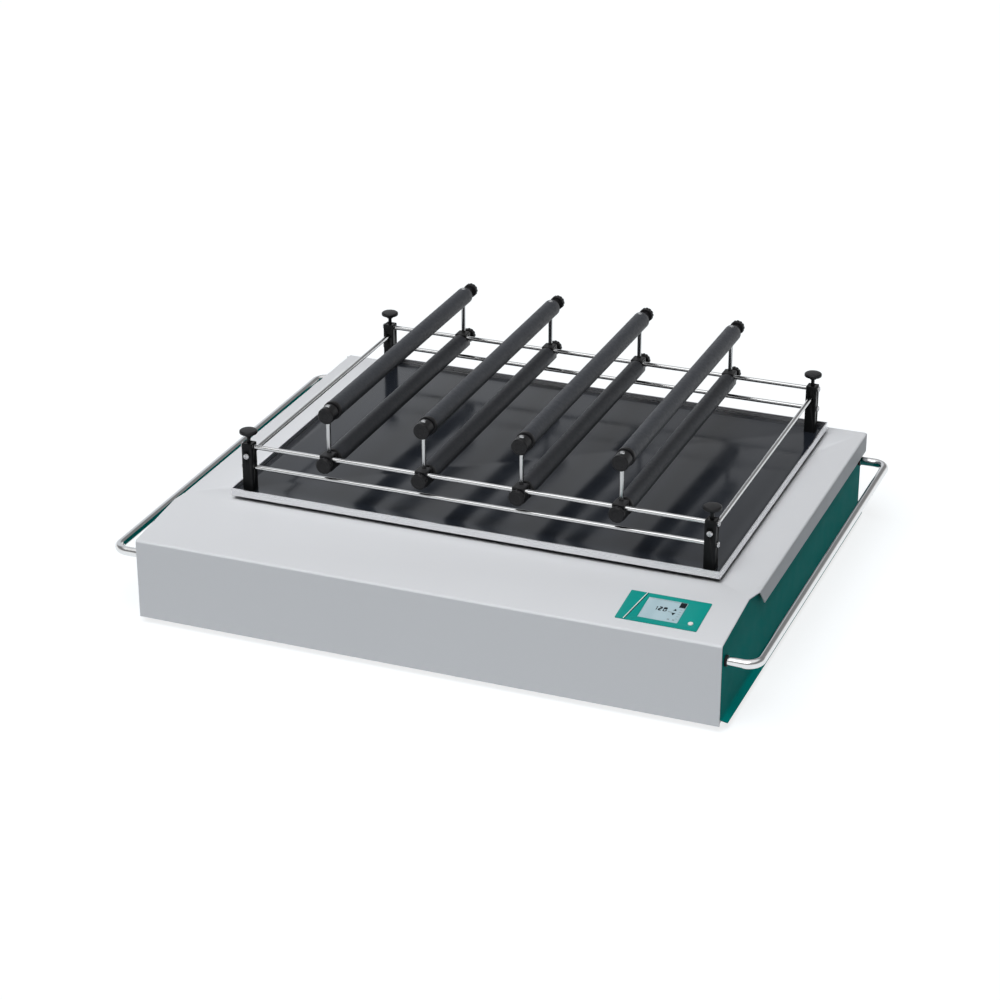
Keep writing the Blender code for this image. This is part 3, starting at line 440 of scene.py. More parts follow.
def flat_plate(name, outlines, thickness, edge, matrix):
    """A plate between zero and its thickness, with softened edges. Further outlines are holes."""
    curve = bpy.data.curves.new(name, "CURVE")
    curve.dimensions = "2D"
    curve.fill_mode = "BOTH"
    curve.extrude = thickness / 2 - edge
    curve.bevel_depth = edge
    curve.bevel_resolution = PLATE_RESOLUTION
    curve.offset = -edge
    for outline in outlines:
        spline = curve.splines.new("POLY")
        spline.points.add(len(outline) - 1)
        for point, (x, y) in zip(spline.points, outline):
            point.co = (x, y, 0, 1)
        spline.use_cyclic_u = True
    obj = bake(link(name, curve))
    bm = bmesh.new()
    bm.from_mesh(obj.data)
    bmesh.ops.remove_doubles(bm, verts=bm.verts, dist=TINY)
    bmesh.ops.recalc_face_normals(bm, faces=bm.faces)
    bm.to_mesh(obj.data)
    bm.free()
    place(obj, matrix @ Matrix.Translation((0, 0, thickness / 2)))
    return smooth(obj)


def tube(name, path, radius):
    curve = bpy.data.curves.new(name, "CURVE")
    curve.dimensions = "3D"
    curve.bevel_depth = radius
    curve.bevel_resolution = TUBE_RESOLUTION
    curve.use_fill_caps = True
    spline = curve.splines.new("POLY")
    spline.points.add(len(path) - 1)
    for point, co in zip(spline.points, path):
        point.co = (*co, 1)
    return smooth(bake(link(name, curve)))


# Outlines

def rectangle(x0, y0, x1, y1):
    return [(x0, y0), (x1, y0), (x1, y1), (x0, y1)]


def row_of_rectangles(corner, size, count, step):
    starts = [(corner[0] + i * step[0], corner[1] + i * step[1]) for i in range(count)]
    return [rectangle(x, y, x + size[0], y + size[1]) for x, y in starts]


def rounded_rectangle(low, high, radius):
    (x0, y0), (x1, y1) = low, high
    outline = []
    corners = [(x1 - radius, y1 - radius, 0), (x0 + radius, y1 - radius, 1),
               (x0 + radius, y0 + radius, 2), (x1 - radius, y0 + radius, 3)]
    for x, y, quarter in corners:
        for step in range(CORNER_STEPS + 1):
            at = QUARTER * (quarter + step / CORNER_STEPS)
            outline.append((x + radius * math.cos(at), y + radius * math.sin(at)))
    return outline


def circle(x, y, radius):
    angles = [2 * math.pi * side / BORE_SIDES for side in range(BORE_SIDES)]
    return [(x + radius * math.cos(at), y + radius * math.sin(at)) for at in angles]


def segment_digit(digit, left, front):
    """Outlines of a plain seven-stroke digit."""
    lit = {"0": "abcdef", "1": "bc", "2": "abged"}[digit]
    right, back = left + DIGIT_WIDTH, front + DIGIT_HEIGHT
    middle = front + DIGIT_HEIGHT / 2
    stroke, inset = DIGIT_STROKE, DIGIT_INSET
    bars = {
        "a": (left + inset, back - stroke, right - inset, back),
        "g": (left + inset, middle - stroke / 2, right - inset, middle + stroke / 2),
        "d": (left + inset, front, right - inset, front + stroke),
        "f": (left, middle + inset / 2, left + stroke, back - inset),
        "e": (left, front + inset, left + stroke, middle - inset / 2),
        "b": (right - stroke, middle + inset / 2, right, back - inset),
        "c": (right - stroke, front + inset, right, middle - inset / 2),
    }
    return [rectangle(*bars[key]) for key in lit]


# Surfaces

def surface(name, colour, roughness, metallic=0.0, tint=0.05, tint_scale=7.0, spread=0.06,
            spread_scale=40.0, grain=900.0, grain_depth=0.00006, grain_strength=0.2, cells=False,
            stretch=(1, 1, 1), **sockets):
    """A finish whose tone, gloss and relief vary. Scales are per metre."""
    made = bpy.data.materials.new(name)
    made.use_nodes = True
    tree = made.node_tree
    shader = tree.nodes["Principled BSDF"]
    shader.inputs["Metallic"].default_value = metallic
    for key, value in sockets.items():
        shader.inputs[key.replace("_", " ")].default_value = value
    coordinates = tree.nodes.new("ShaderNodeTexCoord")
    mapping = tree.nodes.new("ShaderNodeMapping")
    mapping.inputs["Scale"].default_value = stretch
    tree.links.new(coordinates.outputs["Object"], mapping.inputs["Vector"])
    source = mapping.outputs["Vector"]

    def noise(scale, detail):
        node = tree.nodes.new("ShaderNodeTexNoise")
        node.inputs["Scale"].default_value = scale
        node.inputs["Detail"].default_value = detail
        tree.links.new(source, node.inputs["Vector"])
        return node.outputs["Fac"]

    tone = tree.nodes.new("ShaderNodeMix")
    tone.data_type = "RGBA"
    tone.inputs["A"].default_value = (*(channel * (1 - tint) for channel in colour), 1)
    tone.inputs["B"].default_value = (*(min(1, channel * (1 + tint)) for channel in colour), 1)
    tree.links.new(noise(tint_scale, detail=3), tone.inputs["Factor"])
    tree.links.new(tone.outputs["Result"], shader.inputs["Base Color"])

    gloss = tree.nodes.new("ShaderNodeMapRange")
    gloss.inputs["From Min"].default_value = NOISE_LOW
    gloss.inputs["From Max"].default_value = NOISE_HIGH
    gloss.inputs["To Min"].default_value = max(GLOSSIEST, roughness - spread)
    gloss.inputs["To Max"].default_value = roughness + spread
    tree.links.new(noise(spread_scale, detail=4), gloss.inputs["Value"])
    tree.links.new(gloss.outputs["Result"], shader.inputs["Roughness"])

    if cells:
        voronoi = tree.nodes.new("ShaderNodeTexVoronoi")
        voronoi.feature = "SMOOTH_F1"
        voronoi.inputs["Scale"].default_value = grain
        tree.links.new(source, voronoi.inputs["Vector"])
        relief = voronoi.outputs["Distance"]
    else:
        relief = noise(grain, detail=5)
    bump = tree.nodes.new("ShaderNodeBump")
    bump.inputs["Strength"].default_value = grain_strength
    bump.inputs["Distance"].default_value = grain_depth
    tree.links.new(relief, bump.inputs["Height"])
    tree.links.new(bump.outputs["Normal"], shader.inputs["Normal"])
    return made


def steel(name, along, colour, roughness, strength):
    """Drawn or brushed steel, with its streaks along one axis."""
    stretch = {"X": (STREAK, 1, 1), "Y": (1, STREAK, 1), "Z": (1, 1, STREAK)}[along]
    return surface(name, colour, roughness, 1.0, tint=0.07, tint_scale=500, spread=0.07, spread_scale=700,
                   grain=1500, grain_depth=0.00003, grain_strength=strength, stretch=stretch)


# A low IOR keeps paint and plastic from paling where they are seen at a low angle
HOOD_PAINT = surface("hood_paint", (0.675, 0.690, 0.716), 0.45, tint=0.012, spread=0.03,
                     grain=1300, grain_depth=0.00005, grain_strength=0.16, IOR=1.18)
SIDE_PAINT = surface("side_paint", (0.0, 0.255, 0.234), 0.5, tint=0.05, spread=0.04,
                     grain=1300, grain_depth=0.00005, grain_strength=0.2, IOR=1.05)
PAN_SHEET = surface("pan_sheet", (0.40, 0.41, 0.42), 0.38, 0.85, tint=0.12, tint_scale=30, spread=0.1,
                    spread_scale=60, grain=500, grain_strength=0.1)
HANDLE_STEEL = surface("handle_steel", (0.74, 0.745, 0.75), 0.14, 1.0, tint=0.06, tint_scale=160,
                       spread=0.04, spread_scale=120, grain=2600, grain_depth=0.00001,
                       grain_strength=0.1)
# One drawn steel in three tones by direction. The uprights' copy is darker, painted shade that dulls the
# bright tips of the uprights; the side rods' copy is lighter than the cross rods'.
ROD_X = steel("rod_steel_x", "X", (0.60, 0.605, 0.61), 0.16, 0.03)
ROD_Y = steel("rod_steel_y", "Y", (0.66, 0.665, 0.67), 0.16, 0.03)
ROD_Z_SHADED = steel("rod_steel_z_shaded", "Z", (0.50, 0.505, 0.51), 0.18, 0.04)
SCREW_STEEL = surface("screw_steel", (0.50, 0.50, 0.51), 0.26, 1.0, tint=0.1, tint_scale=300)
TRAY_X = steel("tray_steel_x", "X", (0.86, 0.86, 0.87), 0.3, 0.5)
TRAY_Y = steel("tray_steel_y", "Y", (0.86, 0.86, 0.87), 0.3, 0.5)
# Painted shade: near black on the tray's downward faces, standing in for the shadow in the gap between tray
# and hood
TRAY_PAINTED_SHADE = surface("tray_underside_painted_shade", (0.020, 0.021, 0.023), 0.55, tint=0.2, tint_scale=40,
                         grain=900, grain_depth=0.0001, grain_strength=0.3, IOR=1.3)
MAT = surface("mat_rubber", (0.014, 0.017, 0.023), 0.15, tint=0.16, tint_scale=9, spread=0.05,
              spread_scale=14, grain=700, grain_depth=0.00003, grain_strength=0.1, IOR=1.42)
POST_BLACK = surface("post_black", (0.007, 0.0075, 0.008), 0.42, tint=0.2, tint_scale=60,
                     grain=2200, grain_strength=0.22, IOR=1.22)
PLASTIC = surface("black_plastic", (0.010, 0.010, 0.011), 0.38, tint=0.2, tint_scale=90,
                  grain=2600, grain_strength=0.25, IOR=1.3)
FOAM = surface("bar_foam", (0.032, 0.035, 0.042), 0.52, tint=0.22, tint_scale=260, spread=0.08,
               spread_scale=220, grain=1500, grain_depth=0.00018, grain_strength=0.5, cells=True,
               Specular_IOR_Level=0.3, Sheen_Weight=0.05, Sheen_Roughness=0.5)
FASCIA = surface("fascia_film", (0.002, 0.280, 0.245), 0.34, tint=0.04, tint_scale=25, spread=0.03,
                 grain=3200, grain_depth=0.00002, grain_strength=0.12, Specular_IOR_Level=0.2)
WINDOW = surface("window", (0.42, 0.57, 0.63), 0.14, tint=0.05, tint_scale=30, spread=0.03,
                 grain=2400, grain_depth=0.00001, grain_strength=0.05, Coat_Weight=0.3,
                 Coat_Roughness=0.06)
INK_DARK = surface("ink_dark", (0.012, 0.016, 0.020), 0.5, tint=0.2, tint_scale=900, IOR=1.12)
INK_GREY = surface("ink_grey", (0.22, 0.27, 0.29), 0.35, tint=0.1, tint_scale=900)
INK_PALE = surface("ink_pale", (0.72, 0.78, 0.76), 0.35, tint=0.05, tint_scale=900)
KEY = surface("key_plastic", (0.80, 0.76, 0.75), 0.34, tint=0.03, tint_scale=200, grain=3000,
              grain_strength=0.1)
FOOT_RUBBER = surface("foot_rubber", (0.018, 0.018, 0.018), 0.75, tint=0.2, tint_scale=200,
                      grain=1500, grain_depth=0.0001, grain_strength=0.4)
CAST = surface("cast_metal", (0.52, 0.53, 0.54), 0.42, 1.0, tint=0.12, tint_scale=60, spread=0.1,
               grain=600, grain_depth=0.0002, grain_strength=0.4)
MOTOR_BLACK = surface("motor_black", (0.03, 0.03, 0.033), 0.5, tint=0.15, tint_scale=50,
                      grain=700, grain_depth=0.00015, grain_strength=0.4)
BELT = surface("belt_rubber", (0.02, 0.02, 0.02), 0.65, tint=0.2, tint_scale=120, grain=900,
               grain_strength=0.3)
PIN_METAL = surface("pin_metal", (0.70, 0.66, 0.52), 0.25, 1.0, tint=0.08, tint_scale=300)

# CAD nodes that stay as they are, with the material of each
KEPT_NODES = {
    "base_pan": PAN_SHEET,
    "power_inlet": PLASTIC,
    "bearing_frame": CAST,
    "drive_motor": MOTOR_BLACK,
    "drive_belt": BELT,
    "motor_pulley": CAST,
    "main_crank": CAST,
    "drive_pulley": CAST,
    "carrier_frame": CAST,
    "idler_crank_1": CAST,
    "idler_crank_2": CAST,
    "idler_crank_3": CAST,
}


def dress(obj, material, body, slot, *replaced):
    """Give a piece its material and body, and hide the CAD nodes that it stands for. The slot is not used.
    """
    if material is not None:
        obj.data.materials.clear()
        obj.data.materials.append(material)
    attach(obj, body)
    if replaced:
        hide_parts(*replaced)
    return obj


def repaint_kept_nodes():
    for node, material in KEPT_NODES.items():
        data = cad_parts[node].data
        data.materials.clear()
        data.materials.append(material)


def middle_of(node):
    low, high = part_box(node)
    return (low + high) / 2


# Places read from the frame
hood_low, hood_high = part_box("hood")
FRONT_Y, REAR_Y = hood_low.y, hood_high.y
PAN_Z, TOP_Z = hood_low.z, hood_high.z
FRONT_TOP_Z = TOP_Z - SLOPE_RISE
CREASE_Y = FRONT_Y + SLOPE_DEPTH
STEP_Y = FRONT_Y + STEP_FROM_FRONT
SLOPE_ANGLE = math.atan2(SLOPE_RISE, SLOPE_DEPTH)
TRAY_CENTRE = middle_of("tray")


# Housing

def make_hood():
    """Front wall, sloped strip, top with its wider part behind the step, and the lips."""
    narrow, wide = HOUSING_HALF_WIDTH, hood_high.x
    lip_z = TOP_Z - LIP_DROP
    inner = -narrow + LEFT_INSET
    points = [
        (-narrow, FRONT_Y, PAN_Z), (narrow, FRONT_Y, PAN_Z), (narrow, FRONT_Y, FRONT_TOP_Z),
        (-narrow, FRONT_Y, FRONT_TOP_Z), (-narrow, CREASE_Y, TOP_Z), (narrow, CREASE_Y, TOP_Z),
        (wide, STEP_Y, TOP_Z), (wide, REAR_Y, TOP_Z), (inner, REAR_Y, TOP_Z), (inner, STEP_Y, TOP_Z),
        (wide, STEP_Y + LIP_SLANT, lip_z), (wide, REAR_Y, lip_z), (inner, REAR_Y, lip_z),
        (inner, STEP_Y + LIP_SLANT, lip_z),
    ]
    faces = [(0, 1, 2, 3), (3, 2, 5, 4), (4, 5, 6, 7, 8, 9), (6, 10, 11, 7), (9, 8, 12, 13), (7, 11, 12, 8)]
    hood = folded_sheet("hood_skin", points, faces, BEND)
    cutters = []
    for idler_x, idler_y in IDLERS:
        x = idler_x * PEDESTAL_SHARE
        y = TRAY_CENTRE.y + idler_y * PEDESTAL_SHARE
        cutters.append(bore(HOOD_HOLE_RADIUS, (x, y, TOP_Z - CUT_PAST), (x, y, TOP_Z + CUT_PAST)))
    hood = drill(hood, cutters)
    dress(hood, HOOD_PAINT, "housing", "hood_paint", "hood")


def make_side_panels():
    """Green side walls with an outward kick along the lower edge. The left one drops behind the step."""
    for side, name in SIDES:
        low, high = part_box(f"side_panel_{name}")
        face = side * HOUSING_HALF_WIDTH
        kick = side * (HOUSING_HALF_WIDTH + KICK_REACH)
        front_top = high.z - SLOPE_RISE - GAP
        points = [(kick, low.y + KICK_MITRE, PAN_Z), (kick, high.y, PAN_Z),
                  (face, high.y, PAN_Z + KICK_HEIGHT), (face, low.y, PAN_Z + KICK_HEIGHT),
                  (face, low.y, front_top), (face, CREASE_Y, high.z)]
        if side == LEFT:
            behind_step = high.z - LEFT_WALL_DROP
            points += [(face, STEP_Y, high.z), (face, STEP_Y + LEFT_WALL_DROP, behind_step),
                       (face, high.y, behind_step)]
            faces = [(3, 2, 1, 0), (3, 4, 5, 6, 7, 8, 2)]
        else:
            points += [(face, high.y, high.z)]
            faces = [(0, 1, 2, 3), (3, 2, 6, 5, 4)]
        wall = folded_sheet(f"side_wall_{name}", points, faces, BEND)
        dress(wall, SIDE_PAINT, "housing", "side_paint", f"side_panel_{name}")


def make_handles():
    """Bent tubes along the sides, with a black ring at each root that is painted shade where the tube meets
    the wall.
    """
    hole = TUBE_RADIUS + GAP
    profile = eased([(hole, 0), (SHADE_RING_RADIUS, 0), (SHADE_RING_TIP_RADIUS, SHADE_RING_LENGTH),
                     (hole, SHADE_RING_LENGTH)], SHADE_RING_EASE)
    root = HOUSING_HALF_WIDTH + GAP
    run = HOUSING_HALF_WIDTH + HANDLE_STANDOFF
    for side, name in SIDES:
        low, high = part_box(f"handle_{name}")
        z = (low.z + high.z) / 2
        near, far = low.y + TUBE_RADIUS, high.y - TUBE_RADIUS
        path = eased([(root, near), (run, near), (run, far), (root, far)], HANDLE_BEND, HANDLE_BEND_STEPS)
        handle = tube(f"handle_tube_{name}", [(side * x, y, z) for x, y in path], TUBE_RADIUS)
        dress(handle, HANDLE_STEEL, "housing", "handle_steel", f"handle_{name}")
        for end, y in (("front", near), ("rear", far)):
            # A dark ring put where there is only shade: painted shade at the tube's root
            shade_ring = lathe(f"handle_shade_ring_{name}_{end}", profile + profile[:1])
            outward = Matrix.Rotation(side * QUARTER, 4, "Y")
            place(shade_ring, Matrix.Translation((side * root, y, z)) @ outward)
            dress(shade_ring, PLASTIC, "housing", "black_plastic")


def make_feet():
    for corner in CORNERS:
        name = f"foot_{corner}"
        low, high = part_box(name)
        radius = (high.x - low.x) / 2
        profile = eased([(0, 0), (radius - FOOT_CHAMFER, 0), (radius, FOOT_CHAMFER),
                         (radius, FOOT_RIM_HEIGHT), (radius - FOOT_TAPER, high.z), (0, high.z)], FOOT_EASE)
        foot = lathe(f"{name}_pad", profile, ((low.x + high.x) / 2, (low.y + high.y) / 2, 0))
        dress(foot, FOOT_RUBBER, "housing", "foot_rubber", name)


def make_rear_details():
    """Contact pins in the inlet, and the screws of the rear wall."""
    centre = middle_of("power_inlet")
    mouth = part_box("power_inlet")[1].y
    for name, across, up in INLET_PINS:
        x, z = centre.x + across, centre.z + up
        pin = rounded_box(f"inlet_pin_{name}",
                          (x - PIN_HALF_WIDTH, mouth - PIN_ROOT_DEPTH, z - PIN_HALF_HEIGHT),
                          (x + PIN_HALF_WIDTH, mouth - PIN_TIP_DEPTH, z + PIN_HALF_HEIGHT), PIN_EDGE)
        dress(pin, PIN_METAL, "housing", "rod_steel")
    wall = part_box("base_pan")[1].y
    for number, (x, z) in enumerate(WALL_SCREW_PLACES):
        screw = lathe(f"rear_screw_{number}", eased(WALL_SCREW, SCREW_EASE))
        screw = drill(screw, [slot_cutter(*slot) for slot in WALL_SCREW_SLOTS])
        place(screw, Matrix.Translation((x, wall, z)) @ AXES["Y"])
        dress(smooth(screw), SCREW_STEEL, "housing", "rod_steel")


# Control panel

def slope_matrix(height):
    """Across, along the slope from its front edge, and out of it from a height over the sheet."""
    slope = Matrix.Translation((0, FRONT_Y, FRONT_TOP_Z)) @ Matrix.Rotation(SLOPE_ANGLE, 4, "X")
    return slope @ Matrix.Translation((0, 0, height))


def make_window_marks(left, front, matrix):
    """Plain digits, arrows, ticks and lines, printed on the window."""
    digits = []
    for index, digit in enumerate(DIGITS):
        digits += segment_digit(digit, DIGIT_X + index * DIGIT_PITCH, DIGIT_Y)
    arrows = [[(ARROW_X + x, y) for x, y in outline] for outline in (UP_ARROW, DOWN_ARROW)]
    ticks = row_of_rectangles(*SIDE_TICKS) + row_of_rectangles(*FRONT_TICKS)
    marks = [
        ("digits", digits, INK_DARK),
        ("unit", row_of_rectangles(*UNIT_MARKS), INK_GREY),
        ("dark_square", row_of_rectangles(*DARK_SQUARE), INK_DARK),
        ("arrows", arrows, INK_DARK),
        ("ticks", ticks, INK_GREY),
        ("header", row_of_rectangles(*HEADER_LINE), INK_GREY),
    ]
    for name, outlines, material in marks:
        placed = [[(left + x, front + y) for x, y in outline] for outline in outlines]
        mark = flat_plate(f"window_{name}", placed, MARK_THICKNESS, MARK_EDGE, matrix)
        dress(mark, material, "housing", "window")


def make_divider(left, front):
    """Two thin lines that lean across the fascia."""
    top = slope_matrix(GAP + FASCIA_THICKNESS)
    near = left + DIVIDER_FRONT_SHARE * FASCIA_WIDTH
    far = left + DIVIDER_BACK_SHARE * FASCIA_WIDTH
    start, end = front + DIVIDER_MARGIN, front + FASCIA_DEPTH - DIVIDER_MARGIN
    for name, offset, material in (("pale", 0, INK_PALE), ("dark", DIVIDER_PITCH, INK_DARK)):
        outline = [(near + offset, start), (near + offset + DIVIDER_LINE, start),
                   (far + offset + DIVIDER_LINE, end), (far + offset, end)]
        line = flat_plate(f"divider_{name}", [outline], DIVIDER_THICKNESS, DIVIDER_EDGE, top)
        dress(line, material, "housing", "fascia_film")


def make_key(x, y):
    top = GAP + FASCIA_THICKNESS + KEY_RISE
    profile = [(0, -KEY_DEPTH), (KEY_RADIUS, -KEY_DEPTH), (KEY_RADIUS, top - KEY_CROWN), (0, top)]
    key = lathe("key_cap", eased(profile, KEY_EASE, 4))
    place(key, slope_matrix(0) @ Matrix.Translation((x, y, 0)))
    dress(key, KEY, "key", "key_plastic", "power_key")


def make_control_panel():
    """Film on the slope with a let-in window and a hole for the key."""
    left = HOUSING_HALF_WIDTH - FASCIA_FROM_SIDE - FASCIA_WIDTH
    front = FASCIA_FROM_FRONT
    window = (left + WINDOW_X, front + WINDOW_Y)
    window_far = (window[0] + WINDOW_WIDTH, window[1] + WINDOW_DEPTH)
    key_at = (left + KEY_X, front + KEY_Y)
    base = slope_matrix(GAP)
    fascia = flat_plate("fascia_film_plate", [
        rounded_rectangle((left, front), (left + FASCIA_WIDTH, front + FASCIA_DEPTH), FASCIA_CORNER),
        rounded_rectangle((window[0] - GAP, window[1] - GAP), (window_far[0] + GAP, window_far[1] + GAP),
                          WINDOW_HOLE_CORNER),
        circle(*key_at, KEY_HOLE_RADIUS),
    ], FASCIA_THICKNESS, FASCIA_EDGE, base)
    dress(fascia, FASCIA, "housing", "fascia_film", "control_fascia")
    pane_thickness = FASCIA_THICKNESS - WINDOW_RECESS
    pane = flat_plate("window_pane", [rounded_rectangle(window, window_far, WINDOW_CORNER)],
                      pane_thickness, WINDOW_EDGE, base)
    dress(pane, WINDOW, "housing", "window", "display_window")
    make_window_marks(*window, slope_matrix(GAP + pane_thickness))
    make_divider(left, front)
    make_key(*key_at)


# Tray with its posts and rods

def make_tray():
    """Pan of folded sheet with open corner slits, bright above. Its downward faces are painted shade, near
    black like the shadow in the gap over the hood.
    """
    low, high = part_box("tray")
    x_in, y_in = low.x + TRAY_SLIT, low.y + TRAY_SLIT
    x_out, y_out = high.x - TRAY_SLIT, high.y - TRAY_SLIT
    outline = [(x_out, low.y), (high.x, y_in), (high.x, y_out), (x_out, high.y),
               (x_in, high.y), (low.x, y_out), (low.x, y_in), (x_in, low.y)]
    points = [(x, y, z) for z in (low.z, high.z) for x, y in outline]
    floor = tuple(range(len(outline)))[::-1]
    sides = [(7, 0, 8, 15), (1, 2, 10, 9), (3, 4, 12, 11), (5, 6, 14, 13)]
    tray = folded_sheet("tray_pan", points, [floor] + sides, TRAY_BEND)
    tray.data.materials.clear()
    for material in (TRAY_X, TRAY_Y, TRAY_PAINTED_SHADE):
        tray.data.materials.append(material)
    for polygon in tray.data.polygons:
        polygon.material_index = 1 if abs(polygon.normal.x) > FACING else 0
        # Downward faces get the painted shade
        if polygon.normal.z < -FACING:
            polygon.material_index = 2
    dress(tray, None, "platform", "tray_steel", "tray")


def make_mat():
    """The tray's mat, with openings for the posts."""
    low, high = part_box("tray_mat")
    post_low, post_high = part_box("corner_post_front_right")
    notch_x = (post_low.x - POST_NOTCH, post_high.x + POST_NOTCH)
    notch_y = (post_high.y + POST_NOTCH, post_low.y - POST_NOTCH)
    openings = []
    for side in (LEFT, RIGHT):
        for end in (FRONT, REAR):
            xs = sorted(TRAY_CENTRE.x + side * (x - TRAY_CENTRE.x) for x in notch_x)
            ys = sorted(TRAY_CENTRE.y - end * (y - TRAY_CENTRE.y) for y in notch_y)
            openings.append(rectangle(xs[0], ys[0], xs[1], ys[1]))
    outline = rounded_rectangle((low.x, low.y), (high.x, high.y), MAT_CORNER)
    mat = flat_plate("mat_pad", [outline] + openings, high.z - low.z, MAT_EDGE,
                     Matrix.Translation((0, 0, low.z)))
    dress(mat, MAT, "platform", "mat_rubber", "tray_mat")


def make_post(corner):
    """A square black post, bored for three rods and the knob's stud."""
    low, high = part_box(f"corner_post_{corner}")
    x, y = ((low + high) / 2).xy
    side_z = middle_of("side_rod_right").z
    high_z = middle_of("front_rod_high").z
    radius = ROD_RADIUS + BORE_ROOM
    cutters = [bore(radius, (low.x - CUT_PAST, y, z), (high.x + CUT_PAST, y, z), "X")
               for z in (high_z, middle_of("front_rod_low").z)]
    cutters.append(bore(radius, (x, low.y - CUT_PAST, side_z), (x, high.y + CUT_PAST, side_z), "Y"))
    cutters.append(bore(STUD_BORE, (x, y, high_z), (x, y, high.z + CUT_PAST)))
    post = drill(rounded_box(f"post_{corner}", low, high, POST_EDGE), cutters)
    dress(post, POST_BLACK, "platform", "post_black", f"corner_post_{corner}")


def make_corner_knob(corner):
    """A mushroom knob on its stud, over the post's middle."""
    low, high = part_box(f"corner_knob_{corner}")
    x, y = middle_of(f"corner_post_{corner}").xy
    rim = high.z - KNOB_RIM_DROP
    profile = [(0, low.z), (STUD_RADIUS, low.z), (STUD_RADIUS, rim + KNOB_STEM_TOP)]
    profile += [(radius, rim + height) for radius, height in KNOB_OUTLINE] + [(0, high.z)]
    knob = lathe(f"knob_{corner}", eased(profile, KNOB_EASE, 4), (x, y, 0), sides=KNOB_SIDES)
    dress(knob, PLASTIC, f"knob_{corner}", "black_plastic", f"corner_knob_{corner}")


def make_rods():
    """Steel guard rods, and the domed heads of their end screws with a driver slot."""
    names = [f"{end}_rod_{level}" for end in ("front", "rear") for level in ("high", "low")]
    for name in names + ["side_rod_left", "side_rod_right"]:
        low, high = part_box(name)
        along, index, material = ("Y", 1, ROD_Y) if name.startswith("side") else ("X", 0, ROD_X)
        start, end = low[index] + ROD_HEAD, high[index] - ROD_HEAD
        base = (low + high) / 2
        base[index] = 0
        profile = [(0, start), (ROD_RADIUS, start), (ROD_RADIUS, end), (0, end)]
        rod = lathe(f"{name}_bar", profile, base, along, BAR_SIDES)
        dress(rod, material, "platform", "rod_steel", name)
        for tag, face, out in (("near", low[index], -1), ("far", high[index], 1)):
            screw = lathe(f"{name}_screw_{tag}", eased(ROD_SCREW, SCREW_EASE, 2))
            screw = drill(screw, [slot_cutter(*ROD_SCREW_SLOT)])
            seat = base.copy()
            seat[index] = face - out * ROD_HEAD
            turn = AXES[along] if out > 0 else AXES[along] @ Matrix.Rotation(math.pi, 4, "X")
            place(screw, Matrix.Translation(seat) @ turn)
            dress(smooth(screw), SCREW_STEEL, "platform", "rod_steel")


# Sets of clamp bars

def make_padded_bar(tag, body, x, z, start, end, node, upright_y=None):
    """Foam from a front collar with a short steel neck to the rear end, bored for an upright if given."""
    neck = JOURNAL_LENGTH / 2
    foam_start = start + neck + COLLAR_LENGTH
    length = end - foam_start
    profile = [(0, 0), (FOAM_RADIUS, 0)]
    profile += [(FOAM_RADIUS, length * step / FOAM_RINGS) for step in range(1, FOAM_RINGS)]
    profile += [(FOAM_RADIUS, length), (0, length)]
    foam = lathe(f"{tag}_foam", eased(profile, FOAM_EASE), (x, foam_start, z), "Y", BAR_SIDES)
    if upright_y is not None:
        cutter = bore(UPRIGHT_RADIUS + GAP, (x, upright_y, z - CUT_THROUGH), (x, upright_y, z + CUT_THROUGH))
        foam = smooth(drill(foam, [cutter]))
    dress(foam, FOAM, body, "bar_foam", node)
    profile = [(0, 0), (COLLAR_RADIUS, 0), (COLLAR_RADIUS, COLLAR_LENGTH), (0, COLLAR_LENGTH)]
    collar = lathe(f"{tag}_collar", eased(profile, COLLAR_EASE), (x, foam_start - COLLAR_LENGTH, z), "Y")
    dress(collar, PLASTIC, body, "black_plastic")
    profile = [(0, -neck), (JOURNAL_RADIUS, -neck), (JOURNAL_RADIUS, neck), (0, neck)]
    journal = lathe(f"{tag}_neck", eased(profile, JOURNAL_EASE, 2), (x, start, z), "Y", BAR_SIDES)
    dress(journal, ROD_Y, body, "rod_steel")


def make_block(index, word, x, rod_y, rod_z):
    """The block that slides on the guard rod and carries the low bar's end."""
    block = rounded_box(f"low_block_{index}_{word}",
                        (x - LOW_BLOCK_HALF_WIDTH, rod_y - LOW_BLOCK_FRONT, rod_z - LOW_BLOCK_DOWN),
                        (x + LOW_BLOCK_HALF_WIDTH, rod_y + LOW_BLOCK_BACK, rod_z + LOW_BLOCK_UP),
                        LOW_BLOCK_EDGE, 4)
    cutter = bore(ROD_RADIUS + BORE_ROOM, (x - CUT_THROUGH, rod_y, rod_z),
                  (x + CUT_THROUGH, rod_y, rod_z), "X")
    dress(drill(block, [cutter]), PLASTIC, f"low_set_{index}", "black_plastic")


def make_upright(index, word, x, y, low_z, high_z):
    profile = [(0, low_z), (UPRIGHT_RADIUS, low_z), (UPRIGHT_RADIUS, high_z), (0, high_z)]
    upright = lathe(f"upright_{index}_{word}", eased(profile, UPRIGHT_EASE), (x, y, 0), sides=BAR_SIDES)
    dress(upright, ROD_Z_SHADED, f"low_set_{index}", "rod_steel")


